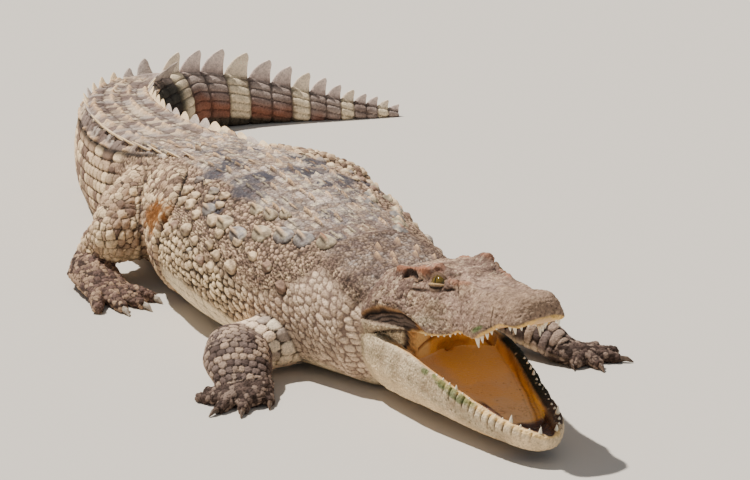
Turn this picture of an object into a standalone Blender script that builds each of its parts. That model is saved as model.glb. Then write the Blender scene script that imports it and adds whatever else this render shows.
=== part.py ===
"""A resting crocodile about three metres long, with its mouth open.

Head towards -Y, tail curled round behind, metres, +Z up, belly and feet on z = 0.
Every shape is a loft of rings: along the spine, along a limb, along a toe or along the skull.
"""

import math

import bmesh
import bpy
from mathutils import Matrix, Vector

GAP = 0.0004                 # clearance between neighbouring solids
GROW = 0.0005                # how far a cutter is grown before it cuts its neighbour
FLOOR = 0.0
FLAT_ANGLE = math.radians(0.8)       # faces nearer to one plane than this are one face

# ---------------------------------------------------------------- spine, head to tail tip
SPINE = (
    (-0.2994, -0.8502), (-0.318, -0.700), (-0.345, -0.500), (-0.353, -0.280), (-0.375, -0.020),
    (-0.397, 0.180), (-0.382, 0.420), (-0.345, 0.620), (-0.284, 0.783), (-0.196, 0.914),
    (-0.074, 1.006), (0.070, 1.035), (0.235, 1.003), (0.370, 0.962), (0.543, 0.914),
)
SPINE_STEP = 0.002           # spacing of the points that measure the length of the spine
RING_HALF = 8                # ring points from the middle of the back to the middle of the belly

# length from the neck plane: half width, top, underside, half distance between the crest rows
BODY = (
    (0.00, 0.126, 0.226, 0.000, 0.060),
    (0.07, 0.146, 0.232, -0.008, 0.066),
    (0.15, 0.170, 0.240, -0.014, 0.078),
    (0.22, 0.191, 0.250, -0.016, 0.090),
    (0.33, 0.213, 0.265, -0.016, 0.104),
    (0.46, 0.233, 0.276, -0.016, 0.112),
    (0.58, 0.228, 0.278, -0.016, 0.112),
    (0.70, 0.202, 0.272, -0.014, 0.108),
    (0.82, 0.170, 0.258, -0.010, 0.101),
    (0.94, 0.147, 0.243, -0.008, 0.099),
    (1.10, 0.131, 0.228, -0.008, 0.095),
    (1.28, 0.118, 0.213, -0.007, 0.087),
    (1.48, 0.101, 0.197, -0.006, 0.077),
    (1.66, 0.086, 0.181, -0.005, 0.060),
    (1.82, 0.069, 0.164, -0.005, 0.034),
    (1.96, 0.054, 0.147, -0.004, 0.012),
    (2.10, 0.043, 0.124, -0.004, 0.008),
    (2.25, 0.032, 0.086, -0.003, 0.006),
    (2.38, 0.022, 0.050, -0.002, 0.004),
    (2.47, 0.014, 0.028, -0.001, 0.003),
    (2.55, 0.005, 0.011, -0.001, 0.002),
)
TAIL_SHAPE = (0.72, 0.98)    # where the round trunk section turns into the tall tail section
BELLY_POWER = 2.35           # how square the trunk section is

# node: first and last length, number of rings
BODY_NODES = (
    ("neck", 0.0, 0.17, 4),
    ("chest", 0.17, 0.40, 5),
    ("belly", 0.40, 0.68, 5),
    ("pelvis", 0.68, 0.98, 5),
    ("tail_1", 0.98, 1.26, 5),
    ("tail_2", 1.26, 1.54, 5),
    ("tail_3", 1.54, 1.82, 5),
    ("tail_4", 1.82, 2.08, 6),
    ("tail_5", 2.08, 2.30, 5),
    ("tail_6", 2.30, 2.55, 5),
)

# ---------------------------------------------------------------- crest of the tail
CREST_START = 0.86
CREST_SINGLE = 1.91          # from here the two rows are one
CREST_END = 2.52
CREST_PITCH = 0.063
CREST_PITCH_END = 0.026
CREST_HEIGHT = (
    (0.86, 0.010), (1.05, 0.018), (1.30, 0.028), (1.60, 0.036), (1.90, 0.052), (2.10, 0.060),
    (2.25, 0.047), (2.38, 0.030), (2.52, 0.010),
)
CREST_LEAN = 0.36            # how far the point lies behind the middle, in pitches
CREST_ROOT = 0.008           # depth of a scute's root in the tail
CREST_SPLAY = 0.60           # outward lean of a paired scute, per metre of height

# ---------------------------------------------------------------- head
JAW_JOINT = Vector((-0.296, -0.885, 0.130))
HEAD_TURN = math.radians(5.5)        # to the animal's left of -Y
HEAD_PITCH = math.radians(15.1)
JAW_PITCH = math.radians(-10.1)
NECK_PLANE = 0.035                   # behind the jaw joint
NAPE_TURN = 0.08                     # length over which the neck turns square to the head

# distance ahead of the joint: lip half width, height of the roof, half width of the roof, lip height
SKULL = (
    (-0.060, 0.106, 0.094, 0.064, 0.000),
    (-0.030, 0.113, 0.101, 0.063, 0.000),
    (0.000, 0.116, 0.105, 0.061, 0.001),
    (0.035, 0.113, 0.106, 0.060, 0.003),
    (0.070, 0.107, 0.105, 0.058, 0.005),
    (0.100, 0.102, 0.105, 0.057, 0.004),
    (0.125, 0.098, 0.106, 0.056, 0.001),
    (0.150, 0.094, 0.105, 0.054, -0.003),
    (0.172, 0.090, 0.101, 0.052, -0.006),
    (0.195, 0.084, 0.093, 0.048, -0.006),
    (0.218, 0.078, 0.084, 0.044, -0.003),
    (0.240, 0.074, 0.077, 0.041, -0.001),
    (0.262, 0.073, 0.071, 0.040, -0.005),
    (0.284, 0.073, 0.067, 0.040, -0.009),
    (0.305, 0.070, 0.063, 0.038, -0.006),
    (0.326, 0.063, 0.059, 0.035, 0.002),
    (0.344, 0.056, 0.057, 0.032, 0.009),
    (0.362, 0.055, 0.058, 0.033, 0.009),
    (0.379, 0.053, 0.057, 0.032, 0.007),
    (0.391, 0.046, 0.052, 0.028, 0.008),
    (0.399, 0.034, 0.045, 0.020, 0.011),
    (0.403, 0.018, 0.036, 0.010, 0.015),
)
ORBIT_AT = 0.150
ORBIT_LENGTH = 0.040
ORBIT_RISE = 0.009           # the rim over each eye above the hollow between them
EYE_AT = Vector((0.168, 0.051, 0.077))
EYE_RADIUS = 0.0205
NOSTRIL_AT = 0.372

# distance ahead of the joint: half width, depth, depth of the trough, height of the rim
MANDIBLE = (
    (-0.060, 0.102, 0.108, 0.004, 0.000),
    (-0.030, 0.109, 0.116, 0.005, 0.000),
    (0.000, 0.113, 0.117, 0.006, 0.000),
    (0.040, 0.112, 0.111, 0.010, 0.003),
    (0.080, 0.109, 0.103, 0.018, 0.007),
    (0.120, 0.107, 0.092, 0.028, 0.012),
    (0.160, 0.103, 0.082, 0.034, 0.013),
    (0.200, 0.095, 0.074, 0.036, 0.010),
    (0.240, 0.086, 0.070, 0.034, 0.005),
    (0.280, 0.077, 0.064, 0.031, 0.002),
    (0.315, 0.069, 0.057, 0.028, 0.000),
    (0.345, 0.062, 0.050, 0.024, 0.001),
    (0.370, 0.054, 0.045, 0.018, 0.003),
    (0.390, 0.045, 0.042, 0.012, 0.003),
    (0.405, 0.034, 0.038, 0.006, 0.002),
    (0.416, 0.021, 0.031, 0.004, 0.000),
    (0.422, 0.010, 0.022, 0.003, -0.002),
)
RIM = 0.019                  # thickness of the jaw beside the trough
MOUTH_CORNER = 0.108         # ahead of the joint

# distance ahead of the joint, length below the gum
UPPER_TEETH = (
    (0.397, 0.006), (0.390, 0.008), (0.380, 0.014), (0.369, 0.009), (0.334, 0.006),
    (0.323, 0.008), (0.312, 0.011), (0.299, 0.015), (0.286, 0.021), (0.273, 0.012),
    (0.261, 0.008), (0.249, 0.007), (0.237, 0.008), (0.224, 0.009), (0.211, 0.011),
    (0.197, 0.012), (0.183, 0.010), (0.168, 0.007), (0.153, 0.006),
)
LOWER_TEETH = (
    (0.413, 0.013), (0.400, 0.007), (0.386, 0.008), (0.368, 0.018), (0.351, 0.008),
    (0.335, 0.007), (0.319, 0.007), (0.303, 0.008), (0.288, 0.010), (0.273, 0.012),
    (0.257, 0.011), (0.241, 0.009), (0.225, 0.008), (0.209, 0.007), (0.193, 0.006),
)
TOOTH_SIDES = (4, 5)          # of a small and of a large tooth
LARGE_TOOTH = 0.010

# ---------------------------------------------------------------- limbs: joints and (wide, deep) radii
RIGHT_ARM = (
    (Vector((-0.415, -0.660, 0.066)), 0.056, 0.055),
    (Vector((-0.500, -0.668, 0.058)), 0.051, 0.049),
    (Vector((-0.580, -0.680, 0.054)), 0.045, 0.044),
)
RIGHT_FOREARM = (
    (Vector((-0.584, -0.684, 0.056)), 0.053, 0.049),
    (Vector((-0.592, -0.722, 0.053)), 0.063, 0.049),
    (Vector((-0.599, -0.758, 0.040)), 0.057, 0.036),
    (Vector((-0.602, -0.780, 0.030)), 0.047, 0.026),
)
RIGHT_PALM = (
    (Vector((-0.595, -0.772, 0.027)), 0.049, 0.023),
    (Vector((-0.606, -0.794, 0.020)), 0.052, 0.021),
    (Vector((-0.624, -0.816, 0.014)), 0.045, 0.018),
)
LEFT_ARM = (
    (Vector((-0.230, -0.650, 0.068)), 0.056, 0.055),
    (Vector((-0.150, -0.668, 0.062)), 0.050, 0.049),
    (Vector((-0.072, -0.688, 0.060)), 0.044, 0.044),
)
LEFT_FOREARM = (
    (Vector((-0.062, -0.690, 0.062)), 0.046, 0.045),
    (Vector((-0.044, -0.735, 0.060)), 0.044, 0.042),
    (Vector((-0.020, -0.790, 0.045)), 0.037, 0.033),
    (Vector((-0.004, -0.830, 0.031)), 0.032, 0.025),
)
LEFT_PALM = (
    (Vector((-0.006, -0.826, 0.026)), 0.031, 0.023),
    (Vector((0.016, -0.845, 0.019)), 0.039, 0.020),
    (Vector((0.036, -0.858, 0.014)), 0.040, 0.017),
)
RIGHT_THIGH = (
    (Vector((-0.430, 0.020, 0.148)), 0.084, 0.076),
    (Vector((-0.500, 0.010, 0.142)), 0.076, 0.074),
    (Vector((-0.553, -0.022, 0.124)), 0.066, 0.067),
    (Vector((-0.593, -0.063, 0.101)), 0.053, 0.055),
)
RIGHT_SHIN = (
    (Vector((-0.597, -0.052, 0.092)), 0.047, 0.047),
    (Vector((-0.607, -0.016, 0.072)), 0.044, 0.041),
    (Vector((-0.617, 0.008, 0.048)), 0.037, 0.033),
)
RIGHT_SOLE = (
    (Vector((-0.628, -0.006, 0.034)), 0.040, 0.032),
    (Vector((-0.643, -0.056, 0.030)), 0.050, 0.031),
    (Vector((-0.645, -0.112, 0.023)), 0.048, 0.025),
    (Vector((-0.641, -0.158, 0.016)), 0.048, 0.019),
)
LEFT_THIGH = (
    (Vector((-0.340, 0.020, 0.156)), 0.084, 0.074),
    (Vector((-0.235, 0.010, 0.160)), 0.076, 0.070),
    (Vector((-0.140, -0.010, 0.150)), 0.064, 0.061),
    (Vector((-0.072, -0.030, 0.128)), 0.052, 0.052),
)
LEFT_SHIN = (
    (Vector((-0.066, -0.024, 0.112)), 0.047, 0.047),
    (Vector((-0.062, 0.012, 0.082)), 0.044, 0.040),
    (Vector((-0.070, 0.040, 0.050)), 0.036, 0.032),
)
LEFT_SOLE = (
    (Vector((-0.076, 0.026, 0.034)), 0.032, 0.032),
    (Vector((-0.078, -0.025, 0.030)), 0.039, 0.031),
    (Vector((-0.082, -0.085, 0.023)), 0.045, 0.025),
    (Vector((-0.084, -0.130, 0.016)), 0.046, 0.019),
)

# toe: root on the palm, joint, end of the toe, claw tip (None where it has no claw)
RIGHT_TOES = (
    ((-0.586, -0.796), (-0.572, -0.818), (-0.579, -0.844), (-0.587, -0.862)),
    ((-0.622, -0.812), (-0.624, -0.838), (-0.636, -0.860), (-0.648, -0.880)),
    ((-0.638, -0.812), (-0.658, -0.828), (-0.676, -0.840), (-0.697, -0.852)),
    ((-0.648, -0.800), (-0.666, -0.790), (-0.683, -0.768), None),
    ((-0.644, -0.786), (-0.656, -0.766), (-0.660, -0.746), None),
)
LEFT_TOES = (
    ((0.024, -0.868), (0.010, -0.884), (0.001, -0.884), (-0.002, -0.900)),
    ((0.040, -0.868), (0.044, -0.892), (0.046, -0.908), (0.044, -0.928)),
    ((0.048, -0.862), (0.076, -0.876), (0.098, -0.888), (0.120, -0.902)),
    ((0.050, -0.850), (0.082, -0.852), (0.110, -0.848), None),
    ((0.040, -0.838), (0.072, -0.826), (0.092, -0.808), None),
)
RIGHT_HIND_TOES = (
    ((-0.612, -0.156), (-0.582, -0.186), (-0.566, -0.202), (-0.556, -0.225)),
    ((-0.630, -0.168), (-0.610, -0.212), (-0.598, -0.236), (-0.591, -0.262)),
    ((-0.648, -0.170), (-0.645, -0.216), (-0.643, -0.246), (-0.641, -0.272)),
    ((-0.668, -0.160), (-0.682, -0.200), (-0.690, -0.228), None),
)
LEFT_HIND_TOES = (
    ((-0.118, -0.124), (-0.142, -0.150), (-0.158, -0.166), (-0.168, -0.186)),
    ((-0.098, -0.138), (-0.112, -0.176), (-0.120, -0.198), (-0.126, -0.222)),
    ((-0.080, -0.142), (-0.078, -0.190), (-0.076, -0.218), (-0.074, -0.244)),
    ((-0.060, -0.134), (-0.044, -0.172), (-0.034, -0.198), None),
)
TOE_RADII = (0.0145, 0.0118, 0.0088)
TOE_HEIGHTS = (0.014, 0.0125, 0.0085)
HIND_TOE_SCALE = 1.12
CLAW_RADII = (0.0070, 0.0052, 0.0012)
CLAW_SIDES = 5
LIMB_SIDES = 10
FOOT_SIDES = 8
TOE_SIDES = 6

COLOURS = {
    "hide": (0.250, 0.205, 0.165, 0.72),
    "head_hide": (0.270, 0.215, 0.180, 0.66),
    "tail_hide": (0.265, 0.205, 0.150, 0.72),
    "belly_hide": (0.470, 0.400, 0.280, 0.70),
    "mouth": (0.640, 0.300, 0.110, 0.42),
    "eyeball": (0.230, 0.200, 0.070, 0.15),
    "claw": (0.160, 0.110, 0.085, 0.45),
}


# ---------------------------------------------------------------- helpers
def lerp(a, b, t):
    return a + (b - a) * t


def smooth(t):
    t = min(1.0, max(0.0, t))
    return t * t * (3.0 - 2.0 * t)


def row_at(table, x):
    """The row of a table at x, joined smoothly between its stations."""
    if x <= table[0][0]:
        return table[0][1:]
    for k in range(len(table) - 1):
        if x <= table[k + 1][0]:
            break
    else:
        return table[-1][1:]
    before = table[max(k - 1, 0)]
    first, last = table[k], table[k + 1]
    after = table[min(k + 2, len(table) - 1)]
    span = last[0] - first[0]
    t = (x - first[0]) / span
    out = []
    for i in range(1, len(first)):
        m0 = (last[i] - before[i]) / (last[0] - before[0]) * span
        m1 = (after[i] - first[i]) / (after[0] - first[0]) * span
        t2, t3 = t * t, t * t * t
        out.append(
            (2 * t3 - 3 * t2 + 1) * first[i] + (t3 - 2 * t2 + t) * m0
            + (3 * t2 - 2 * t3) * last[i] + (t3 - t2) * m1
        )
    return tuple(out)


def material(name):
    red, green, blue, rough = COLOURS[name]
    made = bpy.data.materials.get(name)
    if made:
        return made
    made = bpy.data.materials.new(name)
    made.use_nodes = True
    shader = made.node_tree.nodes["Principled BSDF"]
    shader.inputs["Base Color"].default_value = (red, green, blue, 1.0)
    shader.inputs["Roughness"].default_value = rough
    shader.inputs["Metallic"].default_value = 0.0
    made.diffuse_color = (red, green, blue, 1.0)
    return made


def solid(name, points, faces, home, colour="hide"):
    """A mesh object of the points and faces, its normals turned outwards."""
    mesh = bpy.data.meshes.new(name)
    mesh.from_pydata([tuple(p) for p in points], [], faces)
    body = bmesh.new()
    body.from_mesh(mesh)
    bmesh.ops.recalc_face_normals(body, faces=body.faces)
    if body.calc_volume(signed=True) < 0:
        bmesh.ops.reverse_faces(body, faces=body.faces)
    bmesh.ops.triangulate(body, faces=body.faces)
    body.to_mesh(mesh)
    body.free()
    obj = bpy.data.objects.new(name, mesh)
    obj.data.materials.append(material(colour))
    home.objects.link(obj)
    if home is cutters:
        obj.hide_render = True
        obj.display_type = "WIRE"
    return obj


def loft(name, rings, home, colour="hide"):
    """Rings of equally many points joined in order, each end closed by a fan about its middle."""
    points, faces = [], []
    count = len(rings[0])
    for ring in rings:
        points.extend(ring)
    for k in range(len(rings) - 1):
        for i in range(count):
            j = (i + 1) % count
            faces.append((k * count + i, k * count + j, (k + 1) * count + j, (k + 1) * count + i))
    for k in (0, len(rings) - 1):
        middle = sum((Vector(p) for p in rings[k]), Vector()) / count
        points.append(middle)
        hub = len(points) - 1
        for i in range(count):
            faces.append((k * count + i, k * count + (i + 1) % count, hub))
    return solid(name, points, faces, home, colour)


def grown(obj, amount=GROW):
    """A cutter: the same solid with its surface moved outwards."""
    body = bmesh.new()
    body.from_mesh(obj.data)
    body.normal_update()
    moved = [v.co + v.normal * amount * min(v.calc_shell_factor(), 2.0) for v in body.verts]
    for vert, place in zip(body.verts, moved):
        vert.co = place
    mesh = bpy.data.meshes.new(obj.name + "_cut")
    body.to_mesh(mesh)
    body.free()
    cutter = bpy.data.objects.new(obj.name + "_cut", mesh)
    cutter.hide_render = True
    cutter.display_type = "WIRE"
    cutters.objects.link(cutter)
    return cutter


def boolean(obj, other, operation):
    """Applies one exact Boolean and keeps the result as the object's mesh."""
    step = obj.modifiers.new(operation.lower(), "BOOLEAN")
    step.object = other
    step.operation = operation
    step.solver = "EXACT"
    bpy.context.view_layer.update()
    graph = bpy.context.evaluated_depsgraph_get()
    made = bpy.data.meshes.new_from_object(obj.evaluated_get(graph))
    obj.modifiers.remove(step)
    old = obj.data
    obj.data = made
    bpy.data.meshes.remove(old)
    return obj


def tidy(obj):
    """Merges the faces that a cut has split but left in one plane."""
    body = bmesh.new()
    body.from_mesh(obj.data)
    bmesh.ops.dissolve_degenerate(body, edges=body.edges, dist=1e-6)
    bmesh.ops.dissolve_limit(body, angle_limit=FLAT_ANGLE, verts=body.verts, edges=body.edges)
    bmesh.ops.triangulate(body, faces=body.faces)
    body.to_mesh(obj.data)
    body.free()


def box(name, low, high, place=None):
    corners = [Vector((x, y, z)) for x in (low[0], high[0]) for y in (low[1], high[1])
               for z in (low[2], high[2])]
    if place is not None:
        corners = [place @ c for c in corners]
    faces = [(0, 1, 3, 2), (4, 6, 7, 5), (0, 4, 5, 1), (2, 3, 7, 6), (0, 2, 6, 4), (1, 5, 7, 3)]
    return solid(name, corners, faces, cutters)


# ---------------------------------------------------------------- spine
def spine_points():
    """Closely spaced points of the smooth curve through SPINE, each with its length from the neck."""
    knots = [Vector(p) for p in SPINE]
    knots = [knots[0] * 2 - knots[1]] + knots + [knots[-1] * 2 - knots[-2]]
    trail = []
    length = 0.0
    for k in range(1, len(knots) - 2):
        p0, p1, p2, p3 = knots[k - 1:k + 3]
        steps = max(2, int((p2 - p1).length / SPINE_STEP))
        for i in range(steps):
            t = i / steps
            q = 0.5 * (
                2 * p1 + (p2 - p0) * t + (2 * p0 - 5 * p1 + 4 * p2 - p3) * t * t
                + (3 * p1 - p0 - 3 * p2 + p3) * t * t * t
            )
            if trail:
                length += (q - trail[-1][1]).length
            trail.append((length, q))
    length += (knots[-2] - trail[-1][1]).length
    trail.append((length, knots[-2].copy()))
    return trail


def spine_frame(s):
    """Centre, direction towards the tail and the animal's left, at length s."""
    count = len(TRAIL)
    low, high = 0, count - 2
    while low < high:
        mid = (low + high + 1) // 2
        if TRAIL[mid][0] <= s:
            low = mid
        else:
            high = mid - 1
    first, last = TRAIL[low], TRAIL[low + 1]
    t = (s - first[0]) / (last[0] - first[0])
    place = first[1].lerp(last[1], t)
    back = TRAIL[max(low - 8, 0)][1]
    ahead = TRAIL[min(low + 9, count - 1)][1]
    along = (ahead - back).normalized()
    nape = Vector((-math.sin(HEAD_TURN), math.cos(HEAD_TURN)))
    along = along.lerp(nape, smooth(1.0 - s / NAPE_TURN)).normalized()
    left = Vector((along.y, -along.x))
    return place, along, left


def trunk_half(a, top, low):
    """Half of the rounded trunk section, from the middle of the back down to the middle of the belly."""
    middle = (top + low) / 2
    half = (top - low) / 2
    out = []
    for i in range(RING_HALF + 1):
        angle = math.pi * i / RING_HALF
        across = abs(math.sin(angle)) ** (2 / BELLY_POWER)
        up = math.copysign(abs(math.cos(angle)) ** (2 / BELLY_POWER), math.cos(angle))
        out.append((a * across, middle + half * up))
    return out


def tail_half(a, top, low, crest):
    """Half of the tall tail section: flat between the crest rows, steep sides, narrow underside."""
    tall = top - low
    return [
        (0.0, top - 0.020 * tall),
        (crest, top),
        (lerp(crest, a, 0.58), top - 0.17 * tall),
        (a, top - 0.42 * tall),
        (1.00 * a, top - 0.61 * tall),
        (0.95 * a, top - 0.81 * tall),
        (0.76 * a, top - 0.94 * tall),
        (0.36 * a, low),
        (0.0, low),
    ]


def body_half(s, extra=0.0):
    """Half section at length s: (distance from the middle plane, height), from the back down."""
    a, top, low, crest = row_at(BODY, s)
    a += extra
    top += extra
    crest = min(crest + extra, 0.96 * a)
    mix = smooth((s - TAIL_SHAPE[0]) / (TAIL_SHAPE[1] - TAIL_SHAPE[0]))
    return [
        (lerp(u0, u1, mix), max(lerp(v0, v1, mix), FLOOR - extra))
        for (u0, v0), (u1, v1) in zip(trunk_half(a, top, low), tail_half(a, top, low, crest))
    ]


def back_height(s, across):
    """Height of the upper surface at a distance from the middle plane."""
    half = body_half(s)
    for (u0, v0), (u1, v1) in zip(half, half[1:]):
        if u0 <= across <= u1:
            return lerp(v0, v1, (across - u0) / (u1 - u0))
    return half[0][1]


def body_ring(s, extra=0.0):
    half = body_half(s, extra)
    place, _, left = spine_frame(s)
    around = half + [(-u, v) for u, v in reversed(half[1:-1])]
    return [Vector((place.x + left.x * u, place.y + left.y * u, v)) for u, v in around]


def between_whorls(s):
    """The joint between two crest whorls that lies nearest to length s."""
    joints = [place + 0.5 * pitch for place, pitch, _ in crest_stations()]
    return min(joints, key=lambda joint: abs(joint - s))


def body_nodes():
    """BODY_NODES with every joint of the tail moved to a gap between two whorls."""
    out = []
    for name, first, last, rings in BODY_NODES:
        first = between_whorls(first) if first > CREST_START else first
        last = between_whorls(last) if CREST_START < last < BODY[-1][0] else last
        out.append((name, first, last, rings))
    return out


def body_node(name, first, last, rings):
    start = first + (GAP / 2 if first else 0.0)
    end = last - (GAP / 2 if last < BODY[-1][0] else 0.0)
    stations = [lerp(start, end, i / (rings - 1)) for i in range(rings)]
    colour = "tail_hide" if name.startswith("tail") else "hide"
    return loft(name, [body_ring(s) for s in stations], parts, colour)


def body_cutter():
    """The neck, trunk and first tail lengths as one grown solid, for cutting the limbs."""
    stations = sorted({round(lerp(a, b, i / (n - 1)), 6) for _, a, b, n in body_nodes()[:5] for i in range(n)})
    return loft("body_cut", [body_ring(s, GROW) for s in stations], cutters)


# ---------------------------------------------------------------- crest
def crest_stations():
    """Length of each whorl along the tail, its pitch, and whether it is a single scute."""
    s = CREST_START
    out = []
    while s < CREST_END:
        fade = smooth((s - 2.02) / (CREST_END - 2.02))
        pitch = lerp(CREST_PITCH, CREST_PITCH_END, fade)
        out.append((s, pitch, s >= CREST_SINGLE))
        s += pitch
    return out


def crest_scute(s, pitch, side):
    """A fin that leans towards the tail tip: root, waist and point."""
    place, along, left = spine_frame(s)
    crest = row_at(BODY, s)[3] * 0.97
    top = back_height(s, crest if side else 0.0)
    height = row_at(CREST_HEIGHT, s)[0]
    offset = side * crest
    root = Vector((place.x + left.x * offset, place.y + left.y * offset, top - CREST_ROOT))
    out = Vector((left.x, left.y, 0.0))
    back = Vector((along.x, along.y, 0.0))
    up = Vector((0.0, 0.0, 1.0)) + out * side * CREST_SPLAY
    thick = 0.0050 + 0.05 * height
    levels = (
        (0.0, 0.0, 0.44, 1.0),
        (0.58 * height + CREST_ROOT, 0.06, 0.37, 0.62),
    )
    points, faces = [], []
    for rise, lean, reach, fat in levels:
        middle = root + up * rise + back * lean * pitch
        points.append(middle - back * reach * pitch)
        points.append(middle + out * fat * thick)
        points.append(middle + back * reach * pitch)
        points.append(middle - out * fat * thick)
    points.append(root + up * (height + CREST_ROOT) + back * CREST_LEAN * pitch)
    for i in range(4):
        j = (i + 1) % 4
        faces.append((i, j, 4 + j, 4 + i))
        faces.append((4 + i, 4 + j, 8))
    faces.append((3, 2, 1, 0))
    return points, faces


def merged(name, pieces, home, colour="hide"):
    """Several closed shells that don't meet, as one cutter mesh."""
    points, faces = [], []
    for some_points, some_faces in pieces:
        base = len(points)
        points.extend(some_points)
        faces.extend(tuple(base + i for i in face) for face in some_faces)
    return solid(name, points, faces, home, colour)


def tail_crests(nodes):
    for name, first, last, _ in body_nodes():
        pieces = []
        for s, pitch, single in crest_stations():
            if not first < s < last:
                continue
            for side in (0,) if single else (1, -1):
                pieces.append(crest_scute(s, pitch, side))
        if pieces:
            boolean(nodes[name], merged(name + "_crest", pieces, cutters), "UNION")


# ---------------------------------------------------------------- head
def head_frame(pitch):
    """Matrix from (ahead, left, up) about the jaw joint to the model."""
    ahead = Vector((math.sin(HEAD_TURN), -math.cos(HEAD_TURN), 0.0))
    left = Vector((math.cos(HEAD_TURN), math.sin(HEAD_TURN), 0.0))
    up = Vector((0.0, 0.0, 1.0))
    front = ahead * math.cos(pitch) + up * math.sin(pitch)
    rise = up * math.cos(pitch) - ahead * math.sin(pitch)
    rows = [[front[i], left[i], rise[i], JAW_JOINT[i]] for i in range(3)]
    return Matrix(rows + [[0.0, 0.0, 0.0, 1.0]])


def skull_ring(x, extra=0.0):
    lip, roof, flat, low = row_at(SKULL, x)
    lip += extra
    orbit = ORBIT_RISE * math.exp(-(((x - ORBIT_AT) / ORBIT_LENGTH) ** 2))
    nostril = math.exp(-(((x - NOSTRIL_AT) / 0.016) ** 2))
    arch = 0.010 * smooth((x + 0.06) / 0.10) * smooth((0.40 - x) / 0.06)
    tall = roof - low
    cheek = 0.004 * smooth((0.20 - x) / 0.10)
    half = [
        (0.0, low + arch),
        (0.45 * lip, low + arch),
        (0.80 * lip, low + 0.4 * arch),
        (lip - 0.003, low),
        (lip, low + 0.10 * tall),
        (lip + cheek - 0.002, low + 0.32 * tall),
        (lerp(flat, lip, 0.68), low + 0.62 * tall),
        (lerp(flat, lip, 0.22), low + 0.90 * tall),
        (flat * 0.92, roof + orbit),
        (flat * 0.45, roof - 0.25 * orbit + 0.002 * nostril),
        (0.0, roof - 0.30 * orbit - 0.002 * nostril),
    ]
    around = half + [(-u, v) for u, v in reversed(half[1:-1])]
    return [Vector((x, u, v)) for u, v in around]


def jaw_ring(x):
    wide, deep, trough, rim = row_at(MANDIBLE, x)
    inner = max(wide - RIM, 0.30 * wide)
    half = [
        (0.0, -trough),
        (0.60 * inner, -trough),
        (0.90 * inner, -0.80 * trough),
        (inner, rim - 0.20 * trough),
        (lerp(inner, wide, 0.40), rim),
        (wide - 0.003, rim - 0.001),
        (wide, -0.20 * deep),
        (wide * 0.985, -0.55 * deep),
        (wide * 0.80, -0.86 * deep),
        (wide * 0.42, -deep),
        (0.0, -deep),
    ]
    around = half + [(-u, v) for u, v in reversed(half[1:-1])]
    return [Vector((x, u, v)) for u, v in around]


def placed(ring, frame):
    return [frame @ p for p in ring]


def tooth(base, out, down, ahead, length, root=0.005):
    """A cone from inside the jaw, its point turned a little inwards."""
    sides = TOOTH_SIDES[1] if length > LARGE_TOOTH else TOOTH_SIDES[0]
    thick = 0.0024 + 0.17 * length
    middle = base - down * root
    points = []
    for i in range(sides):
        angle = 2 * math.pi * i / sides
        points.append(middle + (out * math.cos(angle) + ahead * math.sin(angle)) * thick)
    points.append(base + down * length - out * 0.10 * length)
    faces = [(i, (i + 1) % sides, sides) for i in range(sides)]
    faces.append(tuple(reversed(range(sides))))
    return points, faces


def upper_teeth(frame):
    turn = frame.to_3x3()
    ahead = turn @ Vector((1, 0, 0))
    pieces = []
    for side in (-1, 1):
        for x, length in UPPER_TEETH:
            lip, _, _, low = row_at(SKULL, x)
            base = frame @ Vector((x - 0.004, side * max(lip - 0.0075, 0.007), low + 0.001))
            down = turn @ Vector((0.05, side * 0.10, -1.0)).normalized()
            out = turn @ Vector((0, side, 0))
            pieces.append(tooth(base, out, down, ahead, length))
    return merged("upper_teeth", pieces, cutters)


def lower_teeth(frame):
    turn = frame.to_3x3()
    ahead = turn @ Vector((1, 0, 0))
    pieces = []
    for side in (-1, 1):
        for x, length in LOWER_TEETH:
            wide, _, _, rim = row_at(MANDIBLE, x)
            base = frame @ Vector((x - 0.003, side * max(wide - 0.0085, 0.008), rim - 0.001))
            up = turn @ Vector((0.06, side * 0.14, 1.0)).normalized()
            out = turn @ Vector((0, side, 0))
            pieces.append(tooth(base, out, up, ahead, length))
    return merged("lower_teeth", pieces, cutters)


def neck_side_cutter():
    """Everything behind the upright plane where the neck meets the head."""
    place = Matrix.Translation(JAW_JOINT) @ Matrix.Rotation(HEAD_TURN, 4, "Z")
    near = NECK_PLANE - GAP
    return box("neck_side", (-0.5, near, -0.5), (0.5, near + 0.5, 0.5), place)


def eyeball(name, side, frame):
    bm = bmesh.new()
    bmesh.ops.create_icosphere(bm, subdivisions=2, radius=EYE_RADIUS)
    centre = frame @ Vector((EYE_AT.x, side * EYE_AT.y, EYE_AT.z))
    points = [centre + v.co for v in bm.verts]
    faces = [tuple(v.index for v in f.verts) for f in bm.faces]
    bm.free()
    return solid(name, points, faces, parts, "eyeball")


def mouth_lining(upper, lower):
    """The cheeks and throat that close the back of the open mouth, before it is cut to the jaws."""
    rings = []
    for i in range(6):
        t = i / 5
        x = lerp(-0.060, MOUTH_CORNER, t)
        wide = lerp(0.101, 0.090, t)
        high = upper @ Vector((x, 0.0, 0.020))
        low = lower @ Vector((x, 0.0, -0.020))
        hollow = 0.030 * smooth((t - 0.55) / 0.45)
        left = upper.to_3x3() @ Vector((0, 1, 0))
        front = (upper.to_3x3() @ Vector((1, 0, 0)) + lower.to_3x3() @ Vector((1, 0, 0))).normalized()
        ring = []
        for u, v in ((-1, 0), (-1, 0.5), (-1, 1), (-0.5, 1), (0, 1), (0.5, 1), (1, 1), (1, 0.5),
                     (1, 0), (0.5, 0), (0, 0), (-0.5, 0)):
            back = hollow * (1 - u * u)
            tuck = 0.010 * (1 - abs(2 * v - 1)) * abs(u)
            ring.append(low.lerp(high, v) + left * u * (wide - tuck) - front * back)
        rings.append(ring)
    return loft("mouth_lining", rings, parts, "mouth")


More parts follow.
